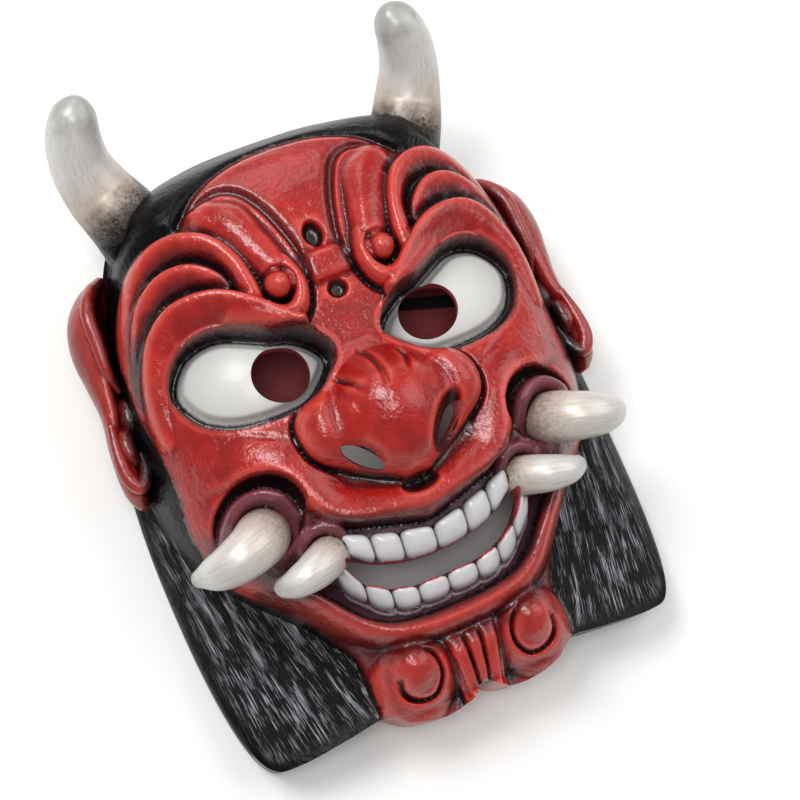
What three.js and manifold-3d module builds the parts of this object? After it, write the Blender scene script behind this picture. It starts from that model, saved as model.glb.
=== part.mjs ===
// A horned demon mask for a costume: one hollow latex casting and the elastic band that holds it on.
// Millimetres. The mask lies face up on its back rim at z = 0: +Z out of the face, +Y towards the horns,
// +X towards the right of whoever looks at the face. x = 0 is the middle of the face.
// The origin is under the middle of the whole mask, on the surface that it lies on.

import * as THREE from "three";
import { mergeVertices } from "three/addons/utils/BufferGeometryUtils.js";
import Module from "manifold-3d";

const wasm = await Module();
wasm.setup();

// Driving dimensions
const WALL = 4;                        // thickness of the latex
const POOLING = 2;                     // the latex is up to this much thicker on steep flanks
const FLOOR = 3;                       // thickness of the cap behind the crown, where the mask lies
const RIM_HEIGHT = 6;                  // height of the hair over the table at its edge
const HAIR_RISE = 26;                  // how much the hair rises from its edge to the middle
const HALF_WIDTH = 109;                // half the width over the hair
const CROWN = { from: 50, over: 72 };  // up the face from here, and over this length, the hair falls to the rim
const CAP_EDGE_Y = -15;                // the cap behind the crown ends here, and the neck is open below
const ORIGIN_Y = -10.7;                // middle of the mask's length, on the face's own y axis
const EYE_HOLE = { x: 34.3, y: -2.2, rx: 13.2, ry: 11.9 };
const NOSTRIL_HOLE = { x: 19.5, y: -50.2, long: 9, wide: 3.6, turn: 0.82 };
const KNIFE = { from: 30, to: 200 };   // holes are cut straight through between these heights
const SLIP = { horn: 3, ear: 8 };      // the soft back sits this much higher on the left, lower on the right
const STRAP = { width: 6, thick: 1.5, z: 10, y: 34.5, slope: -0.31, gap: 0.3 };
const BEYOND = { side: 130, end: 170, below: 5, above: 200 };   // reaches past the mask on every side

// The height fields are worked out on a grid, then thinned to a number of triangles
const GRID = { x0: -120, y0: -166, step: 2, columns: 121, rows: 146 };
const GRID_BOTTOM = -20;
const FACE_TRIANGLES = 4380;
const LINING_TRIANGLES = 1500;
const SLIVER = 0.06;                   // least height of a triangle, as a share of its longest side

// Stations [y, z] of the middle of the face, from under the chin to behind the crown
const MIDLINE = [
  [-170, 5], [-158, 26], [-146, 38], [-125, 52], [-108, 60], [-82, 76], [-50, 82], [-10, 86],
  [20, 89], [60, 87], [80, 82], [92, 74], [103, 55], [111, 34], [117, 14], [130, 4],
];
// Stations [y, half width] of the red face where it meets the hair
const FACE_WIDTH = [
  [-170, 44], [-150, 46], [-128, 46], [-110, 54], [-100, 61], [-90, 70], [-78, 81], [-62, 93], [-30, 100],
  [0, 100], [20, 98], [46, 92], [66, 84], [84, 74], [100, 57], [112, 36], [124, 16],
];

// Outlines of one half, [distance from the middle, y]; the other half mirrors them
const RIM_OUTLINE = [
  [0, -151], [8, -156.5], [20, -158.5], [34, -155.5], [44, -149], [60, -150.5], [84, -152.5], [96, -149],
  [103, -130], [107, -95], [108, -50], [106, -15], [102, 15], [95, 48], [87, 68], [77, 86],
  [64, 99], [46, 108], [24, 114], [0, 116],
];
const EYE_OUTLINE = [
  [14, -3], [17.5, 3], [25, 8], [34, 10.3], [44, 15.5], [52, 19.5], [60, 20.5], [67.5, 18.5], [73.5, 12.5],
  [76, 5], [72.6, -4.5], [67, -11], [58, -15.8], [48, -17.8], [38, -18], [28, -16.5], [19, -10],
];
const MOUTH_OUTLINE = [
  [0, -81], [10, -78.6], [20, -75.8], [30, -72.8], [38, -68.8], [46, -65.5], [54, -70], [58, -78], [54.5, -88],
  [46.5, -98.5], [38.5, -108], [28, -114.3], [14, -116.8], [0, -117.3],
];
const SLOT_OUTLINE = [
  [0, -94.4], [14, -93.2], [27, -89.3], [38, -83.7], [39.8, -86.5], [36, -93], [31, -97.6], [24.4, -101],
  [14, -103.6], [0, -104],
];

// Rounded rolls of flesh on one half: the route of the crest, the reach to the left and to the right of
// whoever walks along it and the height, each from end to end, and the fullness to the left and right. A
// soft one ends gently on its right
const ROLLS = [
  // lower brow, over the eye
  { route: [[20, 11], [28, 18.5], [37, 27], [46, 33.5], [54, 36.5], [61, 37.5], [68, 37], [75, 33.5],
    [81, 27], [85.5, 17], [88, 5], [88, -10]],
    left: [3.5, 3.2, 3.2, 3], right: [8, 11, 13, 5], height: [9, 9, 9, 9, 9, 8, 3], fullness: [3, 1.7] },
  // middle brow
  { route: [[42, 36], [44, 41], [49, 46.5], [54.5, 50.5], [61, 52.3], [67.5, 52], [74, 49], [79.5, 44],
    [84, 36], [87.5, 26], [90, 12]],
    left: [2, 2.6, 2.6, 2], right: [4, 11, 11, 4], height: [5, 8.2, 8.5, 8.5, 8.5, 7, 2],
    fullness: [3, 1.7] },
  // upper brow
  { route: [[34.5, 24], [35, 34], [36.5, 44], [40.5, 53.5], [46, 60], [54, 64.5], [61.5, 66], [68.5, 64.8],
    [75.3, 60.8], [81, 53.5], [86, 44], [89.5, 33], [91.5, 20], [91, 6]],
    left: [6, 5, 4, 3.5, 3.5, 3, 2.5], right: [5, 6, 9.5, 11, 10, 8, 4],
    height: [7, 8.6, 9, 9, 9, 9, 8, 5, 1.5], fullness: [3, 1.8] },
  // lobe of the forehead
  { route: [[37, 69], [31, 63], [25.5, 50], [21.5, 38]],
    left: [9, 12.5, 11.5, 9.5], right: [8, 10, 8.2, 7.5], height: [5.5, 7.5, 8.3], fullness: [2.4, 2.4] },
  // inner end of the brow, which runs round a ball
  { route: [[42, 28], [33, 21], [25, 15.5], [18.5, 17.5], [15, 24], [15.2, 31], [17.5, 38]],
    left: [9, 8, 6.5, 4.8, 4, 4, 4], right: [6, 6, 6, 5, 6, 6, 6], height: [7, 8.5, 8.7, 8.7, 8.7, 8.2, 7],
    fullness: [2.5, 2.5] },
  // cheek and upper lip
  { route: [[84, -30], [74, -33], [66, -35.5], [58.7, -37.5], [52.4, -41.5], [48.1, -48], [45, -54.5],
    [41.2, -61], [36.3, -67], [28.8, -70.5], [18.3, -72.5], [8, -74], [0, -74.5]],
    left: [8, 4.5, 4.5, 4, 4.5, 4.5, 5.5], right: [14, 20, 24, 20, 18, 15, 12],
    height: [1, 6, 8, 8, 8, 8, 8], fullness: [3, 2], soft: true },
  // lower lip
  { route: [[67, -77], [60.5, -90], [54, -98.5], [46.7, -106.5], [36, -115.5], [26, -120], [13, -122.3],
    [0, -122.7]],
    left: [5, 6, 6.3, 6], right: [5, 5.5, 5.5, 5], height: [1, 7, 7.5, 7.5, 7.5, 7.5],
    fullness: [2.2, 2.2] },
  // side column of the chin
  { route: [[8, -125], [7, -136], [6, -146], [5.6, -156]],
    left: [7, 6.5, 6, 5], right: [7, 6.5, 6, 5], height: [2, 8.6, 9, 9], fullness: [3, 3] },
  // middle column of the chin
  { route: [[0, -126], [0, -153]],
    left: [5.5, 5], right: [5.5, 5], height: [2, 8.8, 9.2, 9.2], fullness: [3, 3] },
];
// Round knobs on one half, and a pad with square corners: centre, radii and height
const KNOBS = [
  { at: [23.2, 28.6], r: [8, 8], height: 10.8, fullness: 2.2 },          // ball in the brow's inner end
  { at: [0, 31.2], r: [11, 7], square: 5, height: 3.2, fullness: 5 },    // pad between the brows
  { at: [28, -140], r: [19.5, 19.5], height: 12, fullness: 3 },          // disc of the chin curl
  { at: [28.2, -137.5], r: [16.5, 16], height: 16, fullness: 2 },        // heart of the chin curl
];
// Grooves pressed into the flesh on one half: route, half width and depth
const GROOVES = [
  // round the lobe of the forehead
  { route: [[45, 75.5], [39, 77.3], [29.5, 78.6], [21.3, 74], [15.3, 63], [11.2, 50.5], [9.2, 41], [9, 33],
    [10.3, 23.5], [13.4, 15.2], [18.5, 9.3]], width: 1.6, depth: 3.2 },
  // top of the forehead
  { route: [[0, 93], [20, 90.5], [38, 82.5], [50, 71]], width: 1.8, depth: 2.5 },
  // under the eye
  { route: [[42, -32], [52, -26.5], [62, -21]], width: 1.6, depth: 1 },
  // nest under the ball of the brow
  { route: [[29.6, 30.5], [29.4, 26.6], [26.5, 22.6], [22.6, 21.6], [18.8, 23.2], [17, 26]],
    width: 1.2, depth: 4 },
  // hook of the chin curl
  { route: [[25, -124.5], [21.7, -128.5], [17.8, -133.5], [16.8, -139.5], [18.5, -144.5], [22.4, -148.3],
    [28, -148.6], [33, -146.3], [35.3, -142.3], [35.3, -137.5]], width: 1.2, depth: 4.5 },
  // beside the middle column of the chin
  { route: [[4, -127], [3.2, -138], [2.6, -147], [2, -153]], width: 0.9, depth: 2.2 },
  // beside the side column of the chin
  { route: [[12.3, -126], [10.8, -136], [9.2, -147], [8.2, -155]], width: 0.9, depth: 2.2 },
];
const PITS = [
  { at: [0, 45.4], r: [4.7, 6.4], square: 1.8, depth: 6.5 },  // drop-shaped pit in the forehead
  { at: [0, 19.4], r: [4.5, 4.2], depth: 5 },                 // round pit under the pad
  { at: [0, -67.5], r: [8.5, 4.2], depth: 5 },                // pit under the nose
  { at: [18.5, -50], r: [12, 5], turn: 0.84, depth: 4.5 },    // funnel of the nostril
];
// The nose is a cushion, steep at its outline and fading out up the bridge, with domes added on it
const NOSE_OUTLINE = [
  [0, -3], [12, -5], [22, -12], [33, -20], [39, -26], [40.5, -35], [37.5, -44], [28.5, -51.5], [13, -60.5],
  [0, -66],
];
const NOSE = { rise: 11.5, edge: 11, fadeFrom: -2, fadeOver: 22 };
const NOSE_DOMES = [
  { at: [0, -38], r: [26, 29], height: 16 },                  // tip
  { at: [28, -34], r: [13, 16], height: 5 },                  // wing
];
const NOSE_VALLEY = { route: [[17, -18], [21.5, -25], [23, -33], [22, -41]], width: 4.5, depth: 2.6 };
// Each tusk comes out of a hood, a ring that is highest on its upper side; the big one's lies in a socket
const SOCKET = { at: [65, -55], r: [19, 16.5], depth: 9 };
const HOODS = [
  { x: 66, y: -60, radius: 13.2, width: 4.6, height: 15 },
  { x: 45.5, y: -77.5, radius: 9.4, width: 3.4, height: 9 },
];

// Rows of teeth on one half: where they part, and their tops and bottoms as stations [side, y]
const GUM_DEPTH = 8;                   // the gums lie this much behind the lips
const TOOTH = { height: 7, root: 4, edge: 2.2, flat: 0.72, gap: 0.15 };
const TEETH = [
  { parts: [0, 14.5, 26.5, 38],
    top: [[0, -84], [12, -81.9], [22.5, -79.2], [34, -75], [38, -73.5]],
    bottom: [[0, -94.6], [14, -93.4], [27, -89.5], [38, -83.2]] },
  { parts: [0, 13.5, 24.6, 34.5, 44.5],
    top: [[0, -103.5], [14, -103.2], [24.4, -100.5], [31, -97], [36, -92.5], [44.5, -82]],
    bottom: [[0, -112.6], [15, -112.3], [25, -110.2], [33.5, -105.2], [38, -100], [42.5, -94.8],
      [44.5, -90]] },
];
const EYEBALL = { x: 42, y: 0, z: 79.5, bulge: 0.0135, groove: 3, rim: 2.8 };
// Locks of hair fan out from a point: their width at a distance from it, their depth, and where they start
const HAIR = { fanX: 120, fanY: 120, away: 230, lock: 16, depth: 1.4, below: -20 };

// Plain helpers

function clamp(value, low, high) {
  return Math.min(Math.max(value, low), high);
}

// A smooth curve through stations [place, value] that never overshoots them
function profile(stations) {
  const last = stations.length - 1;
  const rise = (i) => (stations[i + 1][1] - stations[i][1]) / (stations[i + 1][0] - stations[i][0]);
  const tangents = stations.map((_, i) => {
    if (i === 0 || i === last) return 0;
    const product = rise(i - 1) * rise(i);
    return product <= 0 ? 0 : (2 * product) / (rise(i - 1) + rise(i));
  });
  return (place) => {
    const u = clamp(place, stations[0][0], stations[last][0]);
    let i = 0;
    while (i < last - 1 && stations[i + 1][0] < u) i += 1;
    const span = stations[i + 1][0] - stations[i][0];
    const t = (u - stations[i][0]) / span;
    const near = (1 + 2 * t) * (1 - t) * (1 - t) * stations[i][1] + t * (1 - t) * (1 - t) * span * tangents[i];
    const far = t * t * (3 - 2 * t) * stations[i + 1][1] - t * t * (1 - t) * span * tangents[i + 1];
    return near + far;
  };
}

// The value at a share of the way along a row of evenly spread values
function spread(values, share) {
  const place = share * (values.length - 1);
  const i = Math.min(Math.floor(place), values.length - 2);
  return THREE.MathUtils.lerp(values[i], values[i + 1], place - i);
}

// Points along a smooth open route
function routePoints(route) {
  const curve = new THREE.SplineCurve(route.map(([x, y]) => new THREE.Vector2(x, y)));
  return curve.getPoints(4 * (route.length - 1));
}

// A smooth closed outline; a half that starts and ends on the middle is mirrored
function closedOutline(half, steps, mirrored) {
  const other = half.filter(([x]) => x > 0).map(([x, y]) => [-x, y]).reverse();
  const points = (mirrored ? [...half, ...other] : half).map(([x, y]) => new THREE.Vector3(x, y, 0));
  const curve = new THREE.CatmullRomCurve3(points, true, "centripetal");
  return curve.getPoints(steps).slice(0, -1).map((p) => new THREE.Vector2(p.x, p.y));
}

// Where (x, y) lies beside a row of points: the distance, how far along (0 to 1), and on which side
function nearest(points, x, y, closed) {
  const count = closed ? points.length : points.length - 1;
  let best = { gap: Infinity, along: 0, left: true };
  for (let i = 0; i < count; i += 1) {
    const p = points[i];
    const q = points[(i + 1) % points.length];
    const dx = q.x - p.x;
    const dy = q.y - p.y;
    const t = clamp(((x - p.x) * dx + (y - p.y) * dy) / (dx * dx + dy * dy), 0, 1);
    const gap = Math.hypot(x - p.x - t * dx, y - p.y - t * dy);
    if (gap < best.gap) best = { gap, along: (i + t) / count, left: dx * (y - p.y) > dy * (x - p.x) };
  }
  return best;
}

// Distance to a closed outline, negative inside
function signedDistance(points, x, y) {
  let inside = false;
  points.forEach((p, i) => {
    const q = points[(i + 1) % points.length];
    if ((p.y > y) !== (q.y > y) && x < p.x + ((y - p.y) * (q.x - p.x)) / (q.y - p.y)) inside = !inside;
  });
  const { gap } = nearest(points, x, y, true);
  return inside ? -gap : gap;
}

// Rounded across: 1 on the crest, 0 at the edge and beyond. Fuller forms fall later; a fade of 2 ends softly
function bulge(share, fullness = 2.5, fade = 1) {
  return share >= 1 ? 0 : (1 - share ** fullness) ** fade;
}

// How far out a place lies in an oval or, with a high square, in a rounded rectangle: 1 at its edge
function patchShare({ at, r, square = 2, turn = 0 }, side, y) {
  const [dx, dy] = [side - at[0], y - at[1]];
  const u = Math.abs(dx * Math.cos(turn) + dy * Math.sin(turn)) / r[0];
  const v = Math.abs(dy * Math.cos(turn) - dx * Math.sin(turn)) / r[1];
  return (u ** square + v ** square) ** (1 / square);
}

// The form of the mask, as a height over the table

const midline = profile(MIDLINE);
const faceWidth = profile(FACE_WIDTH);
const rimPoints = closedOutline(RIM_OUTLINE, 100, true);
const eyePoints = closedOutline(EYE_OUTLINE, 34, false);
const mouthPoints = closedOutline(MOUTH_OUTLINE, 52, true);
const nosePoints = closedOutline(NOSE_OUTLINE, 40, true);
const valleyPoints = routePoints(NOSE_VALLEY.route);
const rolls = ROLLS.map((roll) => ({ ...roll, points: routePoints(roll.route) }));
const grooves = GROOVES.map((groove) => ({ ...groove, points: routePoints(groove.route) }));
const teeth = TEETH.map((row) => ({ ...row, top: profile(row.top), bottom: profile(row.bottom) }));

function hairHeight(side, y) {
  const edge = (side / HALF_WIDTH) ** 4 + (Math.max(0, y - CROWN.from) / CROWN.over) ** 4;
  return RIM_HEIGHT + HAIR_RISE * clamp(1 - edge, 0, 1) ** 0.6;
}

function bareHeight(side, y) {
  const hair = hairHeight(side, y);
  const across = clamp(1 - (side / faceWidth(y)) ** 3, 0, 1) ** 0.55;
  return hair + Math.max(0, midline(y) - hair) * across;
}

function rollHeight(side, y) {
  let height = 0;
  for (const roll of rolls) {
    const { gap, along, left } = nearest(roll.points, side, y, false);
    const reach = spread(left ? roll.left : roll.right, along);
    const across = bulge(gap / reach, roll.fullness[left ? 0 : 1], roll.soft && !left ? 2 : 1);
    height = Math.max(height, spread(roll.height, along) * across);
  }
  for (const knob of KNOBS) {
    height = Math.max(height, knob.height * bulge(patchShare(knob, side, y), knob.fullness));
  }
  return height;
}

function grooveDepth(side, y) {
  let depth = 0;
  for (const groove of grooves) {
    const { gap } = nearest(groove.points, side, y, false);
    depth = Math.max(depth, groove.depth * Math.exp(-((gap / groove.width) ** 2)));
  }
  for (const pit of PITS) depth = Math.max(depth, pit.depth * bulge(patchShare(pit, side, y), 5));
  return depth;
}

function noseRise(side, y) {
  const inwards = clamp(-signedDistance(nosePoints, side, y) / NOSE.edge, 0, 1);
  const fade = clamp((NOSE.fadeFrom - y) / NOSE.fadeOver, 0, 1) ** 0.8;
  const cushion = NOSE.rise * fade * Math.sqrt(1 - (1 - inwards) ** 2);
  const domes = NOSE_DOMES.map((dome) => dome.height * bulge(patchShare(dome, side, y), 2, 1.3));
  const { gap } = nearest(valleyPoints, side, y, false);
  const valley = NOSE_VALLEY.depth * Math.exp(-((gap / NOSE_VALLEY.width) ** 2)) * inwards;
  return domes.reduce((sum, dome) => sum + dome, cushion - valley);
}

function gumHeight(side, y) {
  return bareHeight(side, y) - GUM_DEPTH;
}

function eyeHeight(side, y) {
  return EYEBALL.z - EYEBALL.bulge * ((side - EYEBALL.x) ** 2 + (y - EYEBALL.y) ** 2);
}

// Locks of hair fan out downwards
function lockDepth(side, y) {
  const turn = Math.atan2(HAIR.fanX - side, HAIR.fanY - y);
  return HAIR.depth * (1 - Math.abs(Math.sin((Math.PI * HAIR.away * turn) / HAIR.lock)));
}

// A ring round the root of a tusk, highest on its upper side
function hoodHeight(side, y) {
  let height = 0;
  for (const hood of HOODS) {
    const gap = Math.abs(Math.hypot(side - hood.x, y - hood.y) - hood.radius) / hood.width;
    const upper = clamp(0.3 + (1.1 * (y - hood.y)) / hood.radius, 0, 1);
    height += hood.height * upper * bulge(gap, 3);
  }
  return height;
}

// The height of the outside of the mask over any place
function faceHeight(x, y) {
  const side = Math.abs(x);
  const bare = bareHeight(side, y);
  if (side > faceWidth(y) && y < HAIR.below) return bare - lockDepth(side, y);

  let z = bare + rollHeight(side, y) + noseRise(side, y) - grooveDepth(side, y);
  const inMouth = signedDistance(mouthPoints, side, y) < 0;
  if (inMouth) z = gumHeight(side, y);

  const eyeGap = signedDistance(eyePoints, side, y);
  if (eyeGap < EYEBALL.rim) {
    const groove = EYEBALL.groove * bulge(Math.abs(eyeGap) / EYEBALL.rim);
    z = Math.min(z, eyeHeight(side, y) - groove);
  }

  const socket = patchShare(SOCKET, side, y);
  if (socket < 1) z = Math.min(z, bare - SOCKET.depth * bulge(socket ** 3));
  return socket < 1 || inMouth ? z + hoodHeight(side, y) : z;
}

// Height fields as solids

// Heights on the grid, each an average from half a step around, so that steep edges show no stairs
function heightGrid(heightAt) {
  const half = GRID.step / 2;
  const columns = 2 * GRID.columns + 1;
  const samples = new Float64Array(columns * (2 * GRID.rows + 1)).map((_, at) => (
    heightAt(GRID.x0 + ((at % columns) - 1) * half, GRID.y0 + (Math.floor(at / columns) - 1) * half)
  ));
  return new Float64Array(GRID.columns * GRID.rows).map((_, at) => {
    const middle = (2 * Math.floor(at / GRID.columns) + 1) * columns + 2 * (at % GRID.columns) + 1;
    const across = (k) => (samples[k - 1] + 2 * samples[k] + samples[k + 1]) / 4;
    return (across(middle - columns) + 2 * across(middle) + across(middle + columns)) / 4;
  });
}

// The lining: the outside moved inwards by the wall, as if a ball rolled along under it
function liningGrid(outside) {
  const radius = WALL + POOLING;
  const cells = Math.floor(radius / GRID.step);
  const ball = [];
  for (let j = -cells; j <= cells; j += 1) {
    for (let i = -cells; i <= cells; i += 1) {
      const under = radius ** 2 - (i * GRID.step) ** 2 - (j * GRID.step) ** 2;
      if (under >= 0) ball.push([i, j, Math.sqrt(under) - POOLING]);
    }
  }
  return outside.map((_, at) => {
    const column = at % GRID.columns;
    const row = Math.floor(at / GRID.columns);
    const reached = ball.map(([i, j, drop]) => {
      const k = clamp(column + i, 0, GRID.columns - 1);
      const l = clamp(row + j, 0, GRID.rows - 1);
      return outside[l * GRID.columns + k] - drop;
    });
    return Math.min(...reached);
  });
}

// A grid of heights as a solid down to GRID_BOTTOM, thinned to about so many triangles
function fieldSolid(heights, triangles) {
  const points = [];
  const faces = [];
  heights.forEach((z, at) => {
    const i = at % GRID.columns;
    const j = Math.floor(at / GRID.columns);
    points.push(new THREE.Vector3(GRID.x0 + i * GRID.step, GRID.y0 + j * GRID.step, z));
    if (i === 0 || j === 0) return;
    const [a, b, c, d] = [at - GRID.columns - 1, at - GRID.columns, at, at - 1];
    if ((i + j) % 2 === 0) faces.push([a, b, c], [a, c, d]);
    else faces.push([a, b, d], [b, c, d]);
  });
  return closedDownwards(points, thinned(points, faces, triangles));
}

// Squared distances to the planes of the faces round a point, as the ten numbers of a quadric
function planeQuadric(a, b, c) {
  const normal = new THREE.Vector3().subVectors(b, a).cross(new THREE.Vector3().subVectors(c, a));
  const area = normal.length() / 2;
  const { x, y, z } = normal.normalize();
  const d = -normal.dot(a);
  return [x * x, x * y, x * z, x * d, y * y, y * z, y * d, z * z, z * d, d * d].map((v) => v * area);
}

function quadricAt(q, p) {
  const { x, y, z } = p;
  return q[0] * x * x + 2 * q[1] * x * y + 2 * q[2] * x * z + 2 * q[3] * x + q[4] * y * y
    + 2 * q[5] * y * z + 2 * q[6] * y + q[7] * z * z + 2 * q[8] * z + q[9];
}

// In plan, a triangle has to stay the right way round and not turn into a sliver
function isSound(a, b, c) {
  const twice = (b.x - a.x) * (c.y - a.y) - (b.y - a.y) * (c.x - a.x);
  const longest = Math.max(
    (b.x - a.x) ** 2 + (b.y - a.y) ** 2,
    (c.x - b.x) ** 2 + (c.y - b.y) ** 2,
    (a.x - c.x) ** 2 + (a.y - c.y) ** 2,
  );
  return twice > SLIVER * longest;
}

// Points are drawn into a neighbour, the least missed first, until few enough faces are left
function thinned(points, faces, triangles) {
  const fans = points.map(() => new Set());
  const quadrics = points.map(() => new Float64Array(10));
  faces.forEach((face, f) => {
    const plane = planeQuadric(...face.map((v) => points[v]));
    face.forEach((v) => {
      fans[v].add(f);
      plane.forEach((value, k) => { quadrics[v][k] += value; });
    });
  });
  const { x0, y0, step, columns, rows } = GRID;
  const onEdge = points.map(({ x, y }) => (
    x < x0 + step / 2 || y < y0 + step / 2
    || x > x0 + (columns - 1.5) * step || y > y0 + (rows - 1.5) * step
  ));
  const fits = (from, to) => [...fans[from]].every((f) => (
    faces[f].includes(to) || isSound(...faces[f].map((v) => points[v === from ? to : v]))
  ));
  let left = faces.length;
  for (let limit = 1e-3; left > triangles && limit < 1e6; limit *= 1.5) {
    for (let from = 0; from < points.length && left > triangles; from += 1) {
      if (onEdge[from] || fans[from].size === 0) continue;
      const around = new Set([...fans[from]].flatMap((f) => faces[f]));
      around.delete(from);
      const costs = [...around].map((to) => [quadricAt(quadrics[from], points[to]), to]);
      const choice = costs.filter(([cost]) => cost < limit).sort((p, q) => p[0] - q[0])
        .find(([, to]) => fits(from, to));
      if (!choice) continue;
      const to = choice[1];
      fans[from].forEach((f) => {
        if (faces[f].includes(to)) {
          faces[f].forEach((v) => v !== from && fans[v].delete(f));
          faces[f] = null;
          left -= 1;
        } else {
          faces[f] = faces[f].map((v) => (v === from ? to : v));
          fans[to].add(f);
        }
      });
      fans[from].clear();
      quadrics[from].forEach((value, k) => { quadrics[to][k] += value; });
    }
  }
  return faces.filter(Boolean);
}

// Side walls and a flat bottom under a sheet of triangles
function closedDownwards(points, sheet) {
  const count = points.length;
  const bottom = points.map((p) => new THREE.Vector3(p.x, p.y, GRID_BOTTOM));
  const edges = new Set(sheet.flatMap(([a, b, c]) => [`${a}_${b}`, `${b}_${c}`, `${c}_${a}`]));
  const faces = sheet.flatMap(([a, b, c]) => [a, b, c, a + count, c + count, b + count]);
  edges.forEach((edge) => {
    const [p, q] = edge.split("_").map(Number);
    if (!edges.has(`${q}_${p}`)) faces.push(p, p + count, q, q, p + count, q + count);
  });
  const geometry = new THREE.BufferGeometry().setFromPoints([...points, ...bottom]);
  geometry.setIndex(faces);
  return toSolid(geometry);
}

// Other solids

function toSolid(geometry) {
  const bare = geometry.clone();
  bare.deleteAttribute("normal");
  bare.deleteAttribute("uv");
  const merged = mergeVertices(bare, 1e-4);
  return new wasm.Manifold(new wasm.Mesh({
    numProp: 3,
    vertProperties: Float32Array.from(merged.attributes.position.array),
    triVerts: Uint32Array.from(merged.index.array),
  }));
}

function toGeometry(solid) {
  const mesh = solid.getMesh();
  const geometry = new THREE.BufferGeometry();
  geometry.setAttribute("position", new THREE.BufferAttribute(new Float32Array(mesh.vertProperties), 3));
  geometry.setIndex(new THREE.BufferAttribute(new Uint32Array(mesh.triVerts), 1));
  return geometry;
}

function extruded(points, from, to) {
  const shape = new THREE.Shape(points);
  const geometry = new THREE.ExtrudeGeometry(shape, { depth: to - from, bevelEnabled: false });
  return toSolid(geometry.translate(0, 0, from));
}

// A solid through closed rings of points, each ring with as many points, with flat fans at its ends
function lofted(rings) {
  const sides = rings[0].length;
  const index = [];
  rings.slice(1).forEach((_, r) => {
    for (let i = 0; i < sides; i += 1) {
      const a = r * sides + i;
      const b = r * sides + ((i + 1) % sides);
      index.push(a, b, a + sides, b, b + sides, a + sides);
    }
  });
  const last = (rings.length - 1) * sides;
  for (let i = 1; i < sides - 1; i += 1) {
    index.push(0, i + 1, i);
    index.push(last, last + i, last + i + 1);
  }
  const geometry = new THREE.BufferGeometry().setFromPoints(rings.flat());
  geometry.setIndex(index);
  return toSolid(geometry);
}

function ellipsePoints(cx, cy, rx, ry, turn, steps) {
  return new THREE.EllipseCurve(cx, cy, rx, ry, 0, 2 * Math.PI, false, turn).getPoints(steps).slice(0, -1);
}

// A closed outline moved inwards
function inset(points, distance) {
  return points.map((p, i) => {
    const before = points[(i + points.length - 1) % points.length];
    const after = points[(i + 1) % points.length];
    const along = new THREE.Vector2().subVectors(after, before).normalize();
    return new THREE.Vector2(p.x - along.y * distance, p.y + along.x * distance);
  });
}

// Horns and tusks: round, tapering along a smooth route, radii spread evenly from root to tip
const HORN = {
  route: [[58, 76, 34], [66.2, 89.6, 50], [72.6, 102.7, 56.5], [76, 113.3, 66], [75, 122.7, 78],
    [69, 131.5, 91]],
  radii: [25, 18.5, 17, 16, 15, 13.8, 12.8, 11.8, 10, 6.8], sides: 14, steps: 8, slip: SLIP.horn,
};
const BIG_TUSK = {
  route: [[63, -58, 56], [67, -62.5, 71], [75, -67, 80.5], [86, -69.5, 78], [98, -67.3, 62]],
  radii: [11.4, 11.4, 10.2, 7.6, 3.6], sides: 12, steps: 7, slip: 0,
};
const SMALL_TUSK = {
  route: [[39, -76, 56], [45, -80, 69], [54, -84, 76], [63, -85.5, 75], [70, -84, 70]],
  radii: [8, 8.5, 8.2, 6.6, 3.8], sides: 10, steps: 6, slip: 0,
};
const DOME = [[0, 1], [0.6, 0.82], [1, 0.45]];   // rings over the tip: how far on and how wide, as shares

function tapered({ route, radii, sides, steps, slip }, hand) {
  const curve = new THREE.CatmullRomCurve3(
    route.map(([x, y, z]) => new THREE.Vector3(hand * x, y - hand * slip, z)),
  );
  const parts = 100;
  const frames = curve.computeFrenetFrames(parts, false);
  const tip = radii[radii.length - 1] / curve.getLength();
  const body = Array.from({ length: steps }, (_, s) => [(s / steps) * (1 - tip), 1]);
  const rings = body.concat(DOME.map(([on, wide]) => [1 - tip * (1 - on), wide])).map(([share, wide]) => {
    const centre = curve.getPointAt(share);
    const frame = Math.round(parts * share);
    const r = (wide * spread(radii, share)) / Math.cos(Math.PI / sides);
    return Array.from({ length: sides }, (_, k) => {
      const turn = (2 * Math.PI * k) / sides;
      const out = frames.normals[frame].clone().multiplyScalar(r * Math.cos(turn));
      return centre.clone().add(out).addScaledVector(frames.binormals[frame], r * Math.sin(turn));
    });
  });
  return lofted(rings);
}

// Each tooth is a rounded block between two parting lines and the top and the bottom of its row
const TOOTH_CORNERS = [
  [1, 0.5], [0.6, 1], [-0.6, 1], [-1, 0.5], [-1, -0.5], [-0.6, -1], [0.6, -1], [1, -0.5],
];

function tooth(row, i, hand) {
  const [from, to] = [row.parts[i] + TOOTH.gap, row.parts[i + 1] - TOOTH.gap];
  const ring = (share, rise) => TOOTH_CORNERS.map(([u, v]) => {
    const side = THREE.MathUtils.lerp(from, to, (1 + hand * u * share) / 2);
    const y = THREE.MathUtils.lerp(row.bottom(side), row.top(side), (1 + v * share) / 2);
    return new THREE.Vector3(hand * side, y, gumHeight(side, y) + rise);
  });
  return lofted([ring(1, -TOOTH.root), ring(1, TOOTH.height - TOOTH.edge), ring(TOOTH.flat, TOOTH.height)]);
}

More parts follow.
